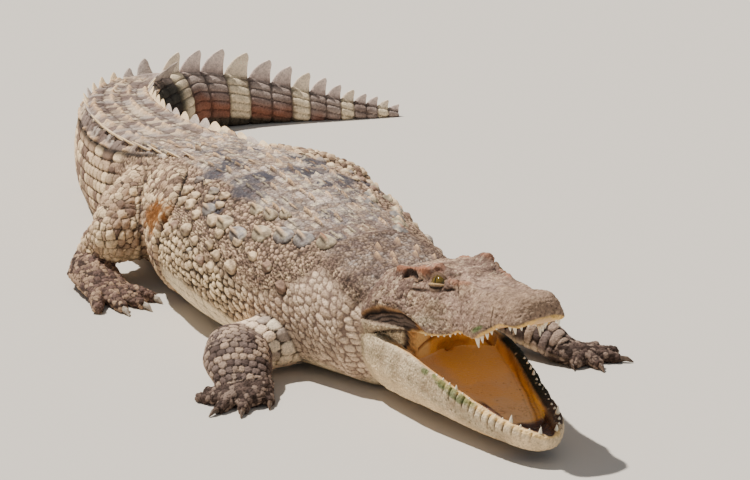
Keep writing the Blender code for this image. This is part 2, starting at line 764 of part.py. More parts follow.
def tongue(frame):
    """The fleshy floor of the mouth, resting in the trough."""
    rings = []
    for x in (0.090, 0.130, 0.170, 0.210, 0.250, 0.290, 0.325, 0.352, 0.368):
        wide, _, trough, _ = row_at(MANDIBLE, x)
        inner = max(wide - RIM, 0.30 * wide)
        end = smooth((0.380 - x) / 0.05)
        w = (inner - 0.006) * lerp(0.62, 1.0, end)
        low = -trough + 0.0030
        thick = 0.009 * end + 0.003
        half = [(0.0, low), (0.55 * w, low), (0.86 * w, low + 0.22 * trough), (w, low + 0.36 * trough),
                (0.90 * w, low + 0.36 * trough + 0.35 * thick), (0.5 * w, low + thick), (0.0, low + 0.8 * thick)]
        around = half + [(-u, v) for u, v in reversed(half[1:-1])]
        rings.append(placed([Vector((x, u, v)) for u, v in around], frame))
    return loft("tongue", rings, parts, "mouth")


def head_nodes():
    upper, lower = head_frame(HEAD_PITCH), head_frame(JAW_PITCH)
    head = loft("head", [placed(skull_ring(row[0]), upper) for row in SKULL], parts, "head_hide")
    jaw = loft("lower_jaw", [placed(jaw_ring(row[0]), lower) for row in MANDIBLE], parts, "belly_hide")
    lining = mouth_lining(upper, lower)
    head_cut = grown(head)
    boolean(jaw, head_cut, "DIFFERENCE")
    jaw_cut = grown(jaw)
    boolean(lining, head_cut, "DIFFERENCE")
    boolean(lining, jaw_cut, "DIFFERENCE")
    flesh = tongue(lower)
    boolean(flesh, jaw_cut, "DIFFERENCE")
    boolean(flesh, grown(lining), "DIFFERENCE")
    for side, name in ((-1, "eye_right"), (1, "eye_left")):
        boolean(head, grown(eyeball(name, side, upper)), "DIFFERENCE")
    boolean(head, upper_teeth(upper), "UNION")
    boolean(jaw, lower_teeth(lower), "UNION")
    behind = neck_side_cutter()
    for obj in (head, jaw, lining):
        boolean(obj, behind, "DIFFERENCE")


# ---------------------------------------------------------------- limbs
def capsule(name, joints, home, colour="hide", sides=LIMB_SIDES):
    """A limb length of oval rings about its joints, with a rounded end at each end."""
    middles = [j[0] for j in joints]
    directions = []
    for k in range(len(middles)):
        a = middles[max(k - 1, 0)]
        b = middles[min(k + 1, len(middles) - 1)]
        directions.append((b - a).normalized())
    rings = []

    def ring(middle, along, wide, deep):
        side = along.cross(Vector((0, 0, 1)))
        if side.length < 0.2:
            side = Vector((1, 0, 0))
        side.normalize()
        up = side.cross(along).normalized()
        return [
            middle + side * wide * math.cos(2 * math.pi * i / sides)
            + up * deep * math.sin(2 * math.pi * i / sides)
            for i in range(sides)
        ]

    first, last = joints[0], joints[-1]
    for reach, size in ((0.80, 0.50), (0.45, 0.86)):
        rings.append(ring(first[0] - directions[0] * reach * first[2], directions[0],
                          first[1] * size, first[2] * size))
    for (middle, wide, deep), along in zip(joints, directions):
        rings.append(ring(middle, along, wide, deep))
    for reach, size in ((0.45, 0.86), (0.80, 0.50)):
        rings.append(ring(last[0] + directions[-1] * reach * last[2], directions[-1],
                          last[1] * size, last[2] * size))
    return loft(name, rings, home, colour)


def toe_rings(toe, scale):
    """Rings from inside the palm to the flat end where the claw begins, and the direction there."""
    root, joint, end, _ = (Vector(p) if p else None for p in toe)
    stations = (root - (joint - root) * 0.3, joint, end)
    radii, heights = TOE_RADII, TOE_HEIGHTS
    rings = []
    for k, place in enumerate(stations):
        before = stations[max(k - 1, 0)]
        after = stations[min(k + 1, len(stations) - 1)]
        along = (after - before).normalized()
        side = Vector((along.y, -along.x, 0.0))
        r = radii[k] * scale
        middle = Vector((place.x, place.y, heights[k] * scale - 0.0012))
        rings.append([
            middle + side * r * math.cos(2 * math.pi * i / TOE_SIDES)
            + Vector((0, 0, 1)) * r * math.sin(2 * math.pi * i / TOE_SIDES)
            for i in range(TOE_SIDES)
        ])
    return rings, (end - joint).normalized()


def rounded_tip(rings, along):
    """A toe without a claw ends in a smaller ring."""
    middle = sum(rings[-1], Vector()) / len(rings[-1])
    forward = Vector((along.x, along.y, 0.0))
    return rings + [[middle + (p - middle) * 0.55 + forward * 0.006 for p in rings[-1]]]


def claw(name, toe, scale):
    """A curved claw from the flat end of the toe down to the ground."""
    rings, along = toe_rings(toe, scale)
    middle = sum(rings[-1], Vector()) / len(rings[-1])
    forward = Vector((along.x, along.y, 0.0))
    tip = Vector((toe[3][0], toe[3][1], 0.0016))
    start = middle + forward * GAP
    waist = start.lerp(tip, 0.50) + Vector((0, 0, 0.0034))
    made = []
    for place, radius, lean in ((start, CLAW_RADII[0], 0.0), (waist, CLAW_RADII[1], 0.35),
                                (tip, CLAW_RADII[2], 0.8)):
        axis = (forward - Vector((0, 0, lean))).normalized()
        side = Vector((forward.y, -forward.x, 0.0)).normalized()
        up = side.cross(axis)
        angles = [2 * math.pi * i / CLAW_SIDES for i in range(CLAW_SIDES)]
        made.append([
            place + (side * 0.8 * math.cos(a) + up * math.sin(a)) * radius * scale for a in angles
        ])
    return loft(name, made, parts, "claw")


def foot(name, palm, toes, scale, claw_name):
    obj = capsule(name, palm, parts, sides=FOOT_SIDES)
    for k, toe in enumerate(toes):
        rings, along = toe_rings(toe, scale)
        if toe[3] is None:
            rings = rounded_tip(rings, along)
        digit = loft(name + "_toe", rings, cutters)
        boolean(obj, digit, "UNION")
        if toe[3] is not None:
            claw(f"{claw_name}_{k + 1}", toe, scale)
    return obj


def limb(names, lengths, toes, scale, claw_name, trunk, ground):
    """Three nodes of a limb, each cut where it lies against the one above it."""
    first = capsule(names[0], lengths[0], parts)
    second = capsule(names[1], lengths[1], parts)
    third = foot(names[2], lengths[2], toes, scale, claw_name)
    first_cut, second_cut = grown(first), grown(second)
    boolean(first, trunk, "DIFFERENCE")
    boolean(second, first_cut, "DIFFERENCE")
    boolean(third, second_cut, "DIFFERENCE")
    for obj in (second, third):
        boolean(obj, ground, "DIFFERENCE")
    return first, second, third


def limbs():
    trunk = body_cutter()
    ground = box("ground", (-2.0, -2.0, -0.5), (2.0, 2.0, FLOOR))
    limb(("upper_arm_right", "forearm_right", "hand_right"), (RIGHT_ARM, RIGHT_FOREARM, RIGHT_PALM),
         RIGHT_TOES, 1.0, "claw_hand_right", trunk, ground)
    limb(("upper_arm_left", "forearm_left", "hand_left"), (LEFT_ARM, LEFT_FOREARM, LEFT_PALM),
         LEFT_TOES, 1.0, "claw_hand_left", trunk, ground)
    limb(("thigh_right", "shin_right", "foot_right"), (RIGHT_THIGH, RIGHT_SHIN, RIGHT_SOLE),
         RIGHT_HIND_TOES, HIND_TOE_SCALE, "claw_foot_right", trunk, ground)
    limb(("thigh_left", "shin_left", "foot_left"), (LEFT_THIGH, LEFT_SHIN, LEFT_SOLE),
         LEFT_HIND_TOES, HIND_TOE_SCALE, "claw_foot_left", trunk, ground)


# ---------------------------------------------------------------- whole animal
def centre_on_origin():
    """Moves every part so that the origin is the middle of the underside of the whole."""
    bpy.context.view_layer.update()
    points = [v.co for obj in parts.objects for v in obj.data.vertices]
    low = Vector([min(p[i] for p in points) for i in range(3)])
    high = Vector([max(p[i] for p in points) for i in range(3)])
    shift = Vector((-(low.x + high.x) / 2, -(low.y + high.y) / 2, -low.z))
    for home in (parts, cutters):
        for obj in home.objects:
            obj.data.transform(Matrix.Translation(shift))


for old in list(bpy.data.objects):
    bpy.data.objects.remove(old, do_unlink=True)
parts = bpy.data.collections.new("crocodile")
cutters = bpy.data.collections.new("cutters")
bpy.context.scene.collection.children.link(parts)
bpy.context.scene.collection.children.link(cutters)
TRAIL = spine_points()

body = {row[0]: body_node(*row) for row in body_nodes()}
tail_crests(body)
head_nodes()
limbs()
for piece in parts.objects:
    tidy(piece)
centre_on_origin()
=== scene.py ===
"""Looks of the resting crocodile.

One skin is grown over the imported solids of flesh: their union is remeshed, smoothed, and then raised
into beads, tiles and folds that follow the body's own directions. Eyes, lids, teeth, claws, the tail
crest and the keeled scutes of the back are solid pieces of their own. Colours are worked out with the
relief, point by point, and the materials add the grain.
"""

import math

import bmesh
import bpy
import numpy as np
from mathutils import Matrix, Vector
from mathutils.bvhtree import BVHTree


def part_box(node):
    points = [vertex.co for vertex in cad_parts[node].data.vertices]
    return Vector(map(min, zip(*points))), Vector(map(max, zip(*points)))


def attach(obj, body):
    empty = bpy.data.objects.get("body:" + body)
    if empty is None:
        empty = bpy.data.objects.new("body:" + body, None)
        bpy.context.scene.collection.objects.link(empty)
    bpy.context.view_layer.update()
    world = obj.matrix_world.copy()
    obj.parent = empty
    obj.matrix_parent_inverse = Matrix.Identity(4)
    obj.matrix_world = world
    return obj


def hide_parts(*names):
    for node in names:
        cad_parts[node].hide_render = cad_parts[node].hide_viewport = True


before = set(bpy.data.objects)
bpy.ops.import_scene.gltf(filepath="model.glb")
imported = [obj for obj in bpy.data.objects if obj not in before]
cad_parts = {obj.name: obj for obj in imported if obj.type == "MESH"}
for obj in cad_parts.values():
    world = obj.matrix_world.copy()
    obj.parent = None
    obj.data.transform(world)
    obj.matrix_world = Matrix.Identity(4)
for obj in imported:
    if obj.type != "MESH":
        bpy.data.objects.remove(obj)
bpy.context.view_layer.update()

# ---------------------------------------------------------------- driving dimensions, in metres
BODY = ("neck", "chest", "belly", "pelvis", "tail_1", "tail_2", "tail_3", "tail_4", "tail_5", "tail_6")
ARMS = ("upper_arm_right", "forearm_right", "hand_right", "upper_arm_left", "forearm_left", "hand_left")
LEGS = ("thigh_right", "shin_right", "foot_right", "thigh_left", "shin_left", "foot_left")
MOUTH = ("tongue", "mouth_lining")
FLESH = BODY + ARMS + LEGS + ("head", "lower_jaw") + MOUTH
LABEL = {name: k for k, name in enumerate(FLESH)}

HEAD_TURN = math.radians(5.5)
HEAD_PITCH = math.radians(15.1)
JAW_PITCH = math.radians(-10.1)
JOINT_AHEAD = 0.035          # the jaw joint, ahead of the neck's front face
JOINT_HEIGHT = 0.130
AHEAD = np.array((math.sin(HEAD_TURN), -math.cos(HEAD_TURN), 0.0))      # the head's ways on the floor
LEFT = np.array((math.cos(HEAD_TURN), math.sin(HEAD_TURN), 0.0))
UP = np.array((0.0, 0.0, 1.0))
EYE_AT = Vector((0.168, 0.051, 0.077))
EYE_RADIUS = 0.0203
LID_REACH = 1.42             # how far the lids reach round the ball, as an angle from the gaze
CORNEA = 0.0011              # how far it stands out of the ball
GAZE = Vector((0.34, 0.76, 0.60)).normalized()

VOXEL = 0.0027               # size of the skin's faces, halved on the head and the back
STEP = 0.004                 # spacing of the sections of the body
ANGLES = 128                 # rays in each section
CHART = 0.64                 # reach of the body's chart round from the middle of the back
BATCH = 40000                # points that are looked up at a time
TOUCHING = 0.0008            # faces of two nodes that are nearer than this lie in a joint
FINS_FROM = 0.80             # length along the body behind which the solids carry fins

CREST_START = 0.74
CREST_SINGLE = 1.91
CREST_END = 2.52
CREST_PITCH = 0.063
CREST_PITCH_END = 0.026
CREST_HEIGHT = (
    (0.74, 0.007), (0.86, 0.009), (1.05, 0.015), (1.30, 0.021), (1.60, 0.026), (1.80, 0.035), (1.92, 0.052),
    (2.10, 0.062), (2.25, 0.050), (2.38, 0.033), (2.52, 0.012),
)
CREST_HALF = (
    (0.70, 0.075), (0.82, 0.092), (0.94, 0.097), (1.10, 0.092), (1.28, 0.084), (1.48, 0.075),
    (1.66, 0.058), (1.82, 0.033), (1.96, 0.012),
)
CREST_LEAN = 0.36
CREST_SPLAY = 0.60

# distance ahead of the joint, length beyond the gum
UPPER_TEETH = (
    (0.397, 0.006), (0.390, 0.008), (0.380, 0.013), (0.369, 0.008), (0.334, 0.003),
    (0.323, 0.007), (0.312, 0.010), (0.299, 0.014), (0.286, 0.020), (0.273, 0.005),
    (0.261, 0.004), (0.249, 0.003), (0.237, 0.0035), (0.224, 0.004), (0.211, 0.006),
    (0.197, 0.004), (0.183, 0.0035), (0.168, 0.003), (0.153, 0.003),
)
LOWER_TEETH = (
    (0.413, 0.012), (0.400, 0.004), (0.386, 0.005), (0.368, 0.016), (0.351, 0.004),
    (0.335, 0.003), (0.319, 0.003), (0.303, 0.003), (0.288, 0.003), (0.273, 0.004),
    (0.257, 0.004), (0.241, 0.009), (0.225, 0.006), (0.209, 0.005), (0.193, 0.003),
)

# armour: rows of keeled plates along the back, pitch along and across
PLATE_LONG = 0.044
PLATE_WIDE = 0.036
# big scutes over each shoulder: length along the body, arc from the middle line, half size
SHOULDER = ((0.170, 0.080, 0.021), (0.210, 0.105, 0.022), (0.250, 0.125, 0.022), (0.290, 0.150, 0.021),
            (0.330, 0.180, 0.019), (0.380, 0.180, 0.019), (0.355, 0.120, 0.015), (0.320, 0.110, 0.015),
            (0.300, 0.090, 0.013), (0.445, 0.180, 0.017))
# where the thigh's root begins: arc from the middle line, length along the body
HAUNCH = ((0.08, 0.735), (0.15, 0.645), (0.19, 0.590), (0.23, 0.570), (0.36, 0.615))
# spiky scutes behind the head
SPIKES = ((0.090, -0.015, 0.021), (0.055, -0.035, 0.023), (0.045, -0.010, 0.020), (0.020, -0.020, 0.018),
          (0.100, 0.030, 0.020), (0.065, 0.050, 0.020), (0.035, 0.030, 0.018), (0.030, 0.065, 0.015))

# dark patches of the plates and of the skin between them: length, arc, half size
DARK_PLATES = ((0.575, -0.108, 0.034), (0.610, -0.060, 0.030), (0.440, -0.102, 0.034), (0.485, -0.055, 0.034),
               (0.500, 0.030, 0.030), (0.560, 0.100, 0.040), (0.400, 0.080, 0.040))
DARK_SKIN = ((0.575, 0.108, 0.030), (0.610, 0.060, 0.024), (0.440, 0.102, 0.030), (0.485, 0.055, 0.030),
             (0.445, 0.172, 0.024), (0.500, -0.030, 0.028), (0.700, 0.020, 0.030))

CAMERA_AIM = Vector((0.103, 0.110, 0.0))     # floor point at the middle of the view
CAMERA_TURN = math.radians(-24.0)
CAMERA_DROP = math.radians(17.0)
CAMERA_FAR = 5.90
CAMERA_LENS = 134.4

# colours, as linear red, green and blue
TAN = (0.430, 0.300, 0.205)
CREAM = (0.760, 0.590, 0.390)
PALE = (0.740, 0.620, 0.440)
MAUVE = (0.180, 0.115, 0.095)
GREY = (0.420, 0.350, 0.305)
SLATE = (0.100, 0.098, 0.118)
UMBER = (0.045, 0.026, 0.018)
RUST = (0.230, 0.070, 0.028)
BRICK = (0.400, 0.175, 0.105)
KEEL = (0.720, 0.480, 0.280)
SKULL = (0.375, 0.262, 0.203)
JAW = (0.480, 0.385, 0.262)
PEACH = (0.660, 0.440, 0.250)
FLAME = (0.820, 0.440, 0.140)
GUM = (0.800, 0.520, 0.200)
ALGAE = (0.110, 0.170, 0.060)
BLACK = (0.016, 0.012, 0.010)
IVORY = (0.800, 0.740, 0.600)
WINE = (0.110, 0.055, 0.050)
AMBER = (0.480, 0.220, 0.075)
PUPIL = (0.004, 0.004, 0.004)
LIGHTNESS = np.array((0.30, 0.55, 0.15))
SATURATION = 1.14
CONTRAST = 1.42
TONE = 0.37                  # the lightness that the contrast turns about
BRIGHT = 0.68                # the strength above which a colour is held back, its hue kept
HEADROOM = 0.24              # how far above it a colour can get


# ---------------------------------------------------------------- numbers
def ramp(x, low, high):
    """0 at low, 1 at high and smooth between; low may be the larger."""
    t = np.clip((np.asarray(x, float) - low) / (np.asarray(high, float) - low), 0.0, 1.0)
    return t * t * (3.0 - 2.0 * t)


def bell(x, middle, width):
    return np.exp(-(((np.asarray(x, float) - middle) / width) ** 2))


def span(x, a, b, c, d):
    """A rise from a to b and a fall from c to d: 1 between them and 0 outside."""
    return ramp(x, a, b) * ramp(x, d, c)


def spot(a, b, size):
    """1 where both distances are nothing, fading away all round."""
    return bell(np.hypot(a, b), 0.0, size)


def table(x, pairs):
    xs, ys = zip(*pairs)
    return np.interp(x, xs, ys)


def random_at(i, j, k=0, seed=0):
    """A fixed random number from 0 to 1 for each lattice point."""
    i, j, k = (np.asarray(a).astype(np.int64) for a in (i, j, k))
    h = (i * 73856093) ^ (j * 19349663) ^ (k * 83492791) ^ (seed * 26544357)
    h = h & 0xFFFFFFFF
    h = ((h ^ (h >> 15)) * 22468225) & 0xFFFFFFFF
    h = ((h ^ (h >> 13)) * 32664899) & 0xFFFFFFFF
    return ((h ^ (h >> 16)) & 0xFFFFFF) / float(0x1000000)


def noise(points, size, seed=0):
    """Smooth noise from -1 to 1 over points of three coordinates."""
    p = np.asarray(points) / size
    low = np.floor(p)
    t = p - low
    t = t * t * (3.0 - 2.0 * t)
    low = low.astype(np.int64)
    total = 0.0
    for corner in range(8):
        bits = [(corner >> a) & 1 for a in range(3)]
        weight = 1.0
        for a, bit in enumerate(bits):
            weight = weight * (t[:, a] if bit else 1.0 - t[:, a])
        total = total + weight * random_at(*[low[:, a] + bit for a, bit in enumerate(bits)], seed=seed)
    return 2.0 * total - 1.0


def cells(a, b, jitter=0.7, seed=0):
    """Uneven round cells, one to each unit square: how far the nearest middle is, how much farther
    the second nearest is, and the nearest cell's random number."""
    ia, ib = np.floor(a).astype(np.int64), np.floor(b).astype(np.int64)
    first = np.full(len(a), 9.0)
    second = np.full(len(a), 9.0)
    own = np.zeros(len(a))
    for da in (-1, 0, 1):
        for db in (-1, 0, 1):
            ca, cb = ia + da, ib + db
            x = ca + 0.5 + jitter * (random_at(ca, cb, 1, seed) - 0.5)
            y = cb + 0.5 + jitter * (random_at(ca, cb, 2, seed) - 0.5)
            d = np.hypot(a - x, b - y)
            nearer = d < first
            second = np.where(nearer, first, np.minimum(second, d))
            own = np.where(nearer, random_at(ca, cb, 3, seed), own)
            first = np.where(nearer, d, first)
    return first, second - first, own


def grains(points, size, jitter=0.8, seed=0):
    """The same in space, over points of three coordinates."""
    p = np.asarray(points) / size
    low = np.floor(p).astype(np.int64)
    first = np.full(len(p), 9.0)
    second = np.full(len(p), 9.0)
    own = np.zeros(len(p))
    for step in np.ndindex(3, 3, 3):
        c = low + np.array(step) - 1
        d2 = 0.0
        for a in range(3):
            d2 = d2 + (p[:, a] - c[:, a] - 0.5 - jitter * (random_at(*c.T, seed=seed + a) - 0.5)) ** 2
        d = np.sqrt(d2)
        nearer = d < first
        second = np.where(nearer, first, np.minimum(second, d))
        own = np.where(nearer, random_at(*c.T, seed=seed + 7), own)
        first = np.where(nearer, d, first)
    return first, second - first, own


def tiles(a, b, stagger=0.5, seed=0, uneven=0.0):
    """Rows of tiles, one to each unit: place in the tile from -0.5 to 0.5 both ways, random number."""
    row = np.floor(a).astype(np.int64)
    b = b + stagger * (row % 2) + uneven * (random_at(row, 0, 7, seed) - 0.5)
    column = np.floor(b).astype(np.int64)
    return a - row - 0.5, b - column - 0.5, random_at(row, column, 3, seed)


def plate(fa, fb, groove=0.10, power=5.0):
    """1 on a rounded tile and 0 in the groove round it."""
    edge = (np.abs(2 * fa) ** power + np.abs(2 * fb) ** power) ** (1 / power)
    return ramp(edge, 1.0, 1.0 - 2 * groove)


def mix(colour, other, amount):
    """Colours mixed by amounts; either may be one colour or a list of them."""
    amount = np.clip(np.asarray(amount, float), 0.0, 1.0)[..., None]
    return np.asarray(colour) * (1.0 - amount) + np.asarray(other) * amount


def coats(colour, *layers):
    """A colour under layers of others, each given with its amount."""
    for other, amount in layers:
        colour = mix(colour, other, amount)
    return colour


def replaced(height, other, amount):
    return height * (1 - amount) + amount * other


def unit(v):
    return v / np.maximum(np.linalg.norm(v, axis=-1, keepdims=True), 1e-12)


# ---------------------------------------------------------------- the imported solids
def mesh_arrays(mesh):
    """Points and triangles of a mesh."""
    points = np.empty(len(mesh.vertices) * 3)
    mesh.vertices.foreach_get("co", points)
    mesh.calc_loop_triangles()
    faces = np.empty(len(mesh.loop_triangles) * 3, np.int32)
    mesh.loop_triangles.foreach_get("vertices", faces)
    return points.reshape(-1, 3), faces.reshape(-1, 3)


def node_arrays(names):
    """Points and triangles of several nodes as one, with each triangle's node."""
    points, faces, owner = [], [], []
    base = 0
    for name in names:
        p, f = mesh_arrays(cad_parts[name].data)
        points.append(p)
        faces.append(f + base)
        owner.append(np.full(len(f), LABEL.get(name, -1)))
        base += len(p)
    return np.concatenate(points), np.concatenate(faces), np.concatenate(owner)


def tree_of(points, faces):
    return BVHTree.FromPolygons([tuple(p) for p in points], [tuple(f) for f in faces])


def windows(values, reach, mode="edge"):
    """The values moved by each number of samples up to reach, along the first axis."""
    padded = np.pad(values, [(reach, reach)] + [(0, 0)] * (values.ndim - 1), mode=mode)
    return [padded[k:k + len(values)] for k in range(2 * reach + 1)]


def blur(values, sigma, mode="edge"):
    """Gaussian blur along the first axis."""
    reach = int(math.ceil(3 * sigma))
    weights = np.exp(-0.5 * (np.arange(-reach, reach + 1) / sigma) ** 2)
    weights /= weights.sum()
    return sum(w * part for w, part in zip(weights, windows(values, reach, mode)))


def spread(values, reach, pick):
    """The lowest or highest value within reach samples along the first axis."""
    out = values
    for part in windows(values, reach):
        out = pick(out, part)
    return out


def face_normals(points, faces):
    """Normals of triangles, twice their areas long."""
    a, b, c = (points[faces[:, i]] for i in range(3))
    return np.cross(b - a, c - a)


class Body:
    """The neck, trunk and tail read off the solids: a middle line with a section at each step."""

    def __init__(self):
        points, faces, owner = node_arrays(BODY)
        self.tree = tree_of(points, faces[self.outer(points, faces, owner)])
        self.walk()
        self.measure()
        self.draw_chart()

    @staticmethod
    def outer(points, faces, owner):
        """Which faces are on the outside: those of a joint lie against the next node's."""
        middle = points[faces].mean(1)
        normal = unit(face_normals(points, faces))
        keep = np.ones(len(faces), bool)
        for node in np.unique(owner):
            mine = owner == node
            others = tree_of(points, faces[~mine])
            for k in np.flatnonzero(mine):
                _, facing, _, far = others.find_nearest(Vector(middle[k]))
                if far is not None and far < TOUCHING and facing @ Vector(normal[k]) < -0.8:
                    keep[k] = False
        return keep

    def reach(self, start, direction):
        hit = self.tree.ray_cast(start, direction)
        return hit[3] if hit[0] is not None else None

    def centre(self, place, along, height):
        """The point midway between the two sides, or None where the body has ended."""
        left = Vector((along.y, -along.x, 0.0))
        for nudge in (0.0, 0.0012, -0.0012):
            start = Vector((place.x, place.y, height)) + Vector((along.x, along.y, 0.0)) * nudge
            a, b = self.reach(start, left), self.reach(start, -left)
            if a is not None and b is not None:
                return Vector((place.x, place.y)) + Vector((left.x, left.y)) * (a - b) / 2
        return None

    def walk(self):
        low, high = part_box("neck")
        start = Vector(((low.x + high.x) / 2, low.y + 0.04))
        trails = []
        for sign in (-1, 1):
            place, along, trail = start.copy(), Vector((0.0, float(sign))), []
            while True:
                height = 0.11
                if trail:
                    top = self.reach(Vector((place.x, place.y, 0.004)), Vector((0, 0, 1)))
                    height = 0.42 * min(top or 0.25, 0.26)
                found = self.centre(place, along, max(height, 0.004))
                if found is None:
                    break
                shift = found - place
                if trail and shift.length > 0.002:
                    found = place + shift.normalized() * 0.002
                trail.append(found)
                if len(trail) > 12:
                    along = (along * 3.0 + (trail[-1] - trail[-13]).normalized()).normalized()
                place = found + along * STEP
            trails.append(trail)
        line = np.array([tuple(p) for p in trails[0][:0:-1] + trails[1]])
        line = blur(line, 4.0)
        gone = np.concatenate([[0.0], np.cumsum(np.hypot(*np.diff(line, axis=0).T))])
        self.s = np.arange(0.0, gone[-1], STEP)
        self.line = np.stack([np.interp(self.s, gone, line[:, i]) for i in (0, 1)], 1)
        self.along = unit(np.gradient(self.line, axis=0))
        self.left = np.stack([self.along[:, 1], -self.along[:, 0]], 1)

    def measure(self):
        """Rays out from the middle of every section, with the crest's fins filtered off."""
        count = len(self.s)
        top = np.zeros(count)
        for k in range(count):
            x, y = self.line[k]
            top[k] = self.reach(Vector((x, y, 0.003)), Vector((0, 0, 1))) or 0.0
        top = spread(spread(top, 9, np.minimum), 9, np.maximum)
        self.height = blur(np.maximum(0.5 * top, 0.004), 5.0)
        self.angle = np.arange(ANGLES) * 2 * math.pi / ANGLES - math.pi
        out = np.full((count, ANGLES), np.nan)
        for k in range(count):
            place = Vector((*self.line[k], self.height[k]))
            for j, angle in enumerate(self.angle):
                side, up = math.sin(angle), math.cos(angle)
                way = Vector((self.left[k][0] * side, self.left[k][1] * side, up))
                far = self.reach(place, way)
                if far is not None:
                    out[k, j] = far
        for j in range(ANGLES):
            good = np.isfinite(out[:, j])
            out[:, j] = np.interp(self.s, self.s[good], out[good, j])
        out = np.median(windows(out, 2), axis=0)
        fins = self.s > FINS_FROM
        opened = spread(spread(out, 8, np.minimum), 8, np.maximum)
        upper = np.abs(self.angle) < math.radians(85)
        out[np.ix_(fins, upper)] = np.minimum(out, opened)[np.ix_(fins, upper)]
        out = blur(out, 3.0)
        out = blur(out.T, ANGLES * 6.5 / 360, "wrap").T
        self.radius = out * 1.006
        rings = self.ring_points(np.arange(count))
        steps = np.linalg.norm(np.diff(rings, axis=1), axis=2)
        arc = np.concatenate([np.zeros((count, 1)), np.cumsum(steps, 1)], 1)
        self.arc = arc - arc[:, ANGLES // 2][:, None]

    def ring_points(self, rows):
        side = self.radius[rows] * np.sin(self.angle)
        up = np.maximum(self.height[rows][:, None] + self.radius[rows] * np.cos(self.angle), 0.0006)
        ground = self.line[rows][:, None, :] + self.left[rows][:, None, :] * side[:, :, None]
        return np.concatenate([ground, up[:, :, None]], 2)

    def draw_chart(self):
        """The smooth surface over a regular grid of length and arc."""
        rings = self.ring_points(np.arange(len(self.s)))
        self.arcs = np.arange(-CHART, CHART + 1e-6, STEP)
        grid = np.empty((len(self.s), len(self.arcs), 3))
        for k in range(len(self.s)):
            for i in range(3):
                grid[k, :, i] = np.interp(self.arcs, self.arc[k], rings[k, :, i])
        along, across = np.gradient(grid, STEP, STEP, axis=(0, 1))
        across = np.where(np.linalg.norm(across, axis=2, keepdims=True) < 0.1, (0.0, 0.0, -1.0), across)
        self.charts = (grid, unit(np.cross(across, along)), unit(along), unit(across))

    def surface(self, s, u):
        """Points, outward normals, and the ways to the tail and of growing arc, at arrays of s and u."""
        a = np.clip(np.asarray(s) / STEP, 0, len(self.s) - 1.001)
        b = np.clip((np.asarray(u) + CHART) / STEP, 0, len(self.arcs) - 1.001)
        i, j = a.astype(int), b.astype(int)
        ta, tb = (a - i)[..., None], (b - j)[..., None]
        out = []
        for chart in self.charts:
            near = chart[i, j] * (1 - tb) + chart[i, j + 1] * tb
            far = chart[i + 1, j] * (1 - tb) + chart[i + 1, j + 1] * tb
            out.append(near * (1 - ta) + far * ta)
        return out

    def arc_at(self, s, across):
        """Arc from the middle of the back at which the surface is so far out to the side."""
        k = int(np.clip(s / STEP, 0, len(self.s) - 1))
        side = self.radius[k] * np.sin(self.angle)
        top = (self.angle >= 0) & (self.angle < math.radians(80))
        return float(np.interp(across, side[top], self.arc[k][top]))

    def locate(self, points):
        """Length along the body and signed arc from the middle of the back, of every point."""
        found = [self.locate_some(points[a:a + BATCH]) for a in range(0, len(points), BATCH)]
        return np.concatenate([s for s, _ in found]), np.concatenate([u for _, u in found])

    def locate_some(self, p):
        floor = p[:, :2]
        k = ((self.line ** 2).sum(1)[None] - 2 * floor @ self.line.T).argmin(1)
        offset = floor - self.line[k]
        side = (offset * self.left[k]).sum(1)
        angle = np.arctan2(side, p[:, 2] - self.height[k])
        j = (angle + math.pi) / (2 * math.pi) * ANGLES
        j0 = np.clip(np.floor(j).astype(int), 0, ANGLES - 2)
        t = j - j0
        return (self.s[k] + (offset * self.along[k]).sum(1),
                self.arc[k, j0] * (1 - t) + self.arc[k, j0 + 1] * t)


def jaw_joint():
    """The jaw joint, ahead of the middle of the neck's front face."""
    points, _, _ = node_arrays(("neck",))
    depth = points @ -AHEAD
    across = (points @ LEFT)[depth < depth.min() + 0.001]
    place = -AHEAD * (depth.min() - JOINT_AHEAD) + LEFT * (across.min() + across.max()) / 2
    return Vector((place[0], place[1], JOINT_HEIGHT))


def head_frame(joint, pitch):
    """Matrix from (ahead, left, up) about the jaw joint to the model."""
    ahead, left, up = Vector(AHEAD), Vector(LEFT), Vector(UP)
    front = ahead * math.cos(pitch) + up * math.sin(pitch)
    rise = up * math.cos(pitch) - ahead * math.sin(pitch)
    rows = [[front[i], left[i], rise[i], joint[i]] for i in range(3)]
    return Matrix(rows + [[0.0, 0.0, 0.0, 1.0]])


def into(matrix, points):
    """Points of the model in the frame's own coordinates."""
    m = np.array(matrix.inverted())
    return points @ m[:3, :3].T + m[:3, 3]


def out_of(matrix, points):
    """The other way."""
    m = np.array(matrix)
    return points @ m[:3, :3].T + m[:3, 3]


def turned(matrix, ways):
    """Directions of the model in the frame's own coordinates."""
    return ways @ np.array(matrix.to_3x3().inverted()).T


class Edge:
    """The lip of one jaw, read off its solid between the teeth: half width and height along it."""

    def __init__(self, node, matrix, up):
        points, faces, _ = node_arrays((node,))
        tree = tree_of(into(matrix, points), faces)
        self.x = np.arange(-0.03, 0.4215, 0.0015)
        half, level = [], []
        for x in self.x:
            hit = tree.ray_cast(Vector((x, 0.3, -0.018 * up)), Vector((0, -1, 0)))
            half.append(hit[0].y if hit[0] is not None else np.nan)
            y = half[-1] - 0.0035
            hit = tree.ray_cast(Vector((x, y, 0.3 * up)), Vector((0, 0, -up))) if y == y else (None,)
            level.append(hit[0].z if hit[0] is not None else np.nan)
        self.half = self.mended(half)
        self.level = self.mended(level)

    def mended(self, values):
        values = np.array(values)
        good = np.isfinite(values)
        values = np.interp(self.x, self.x[good], values[good])
        return blur(np.median(windows(values, 6), axis=0), 3.0)

    def at(self, x):
        return np.interp(x, self.x, self.half), np.interp(x, self.x, self.level)


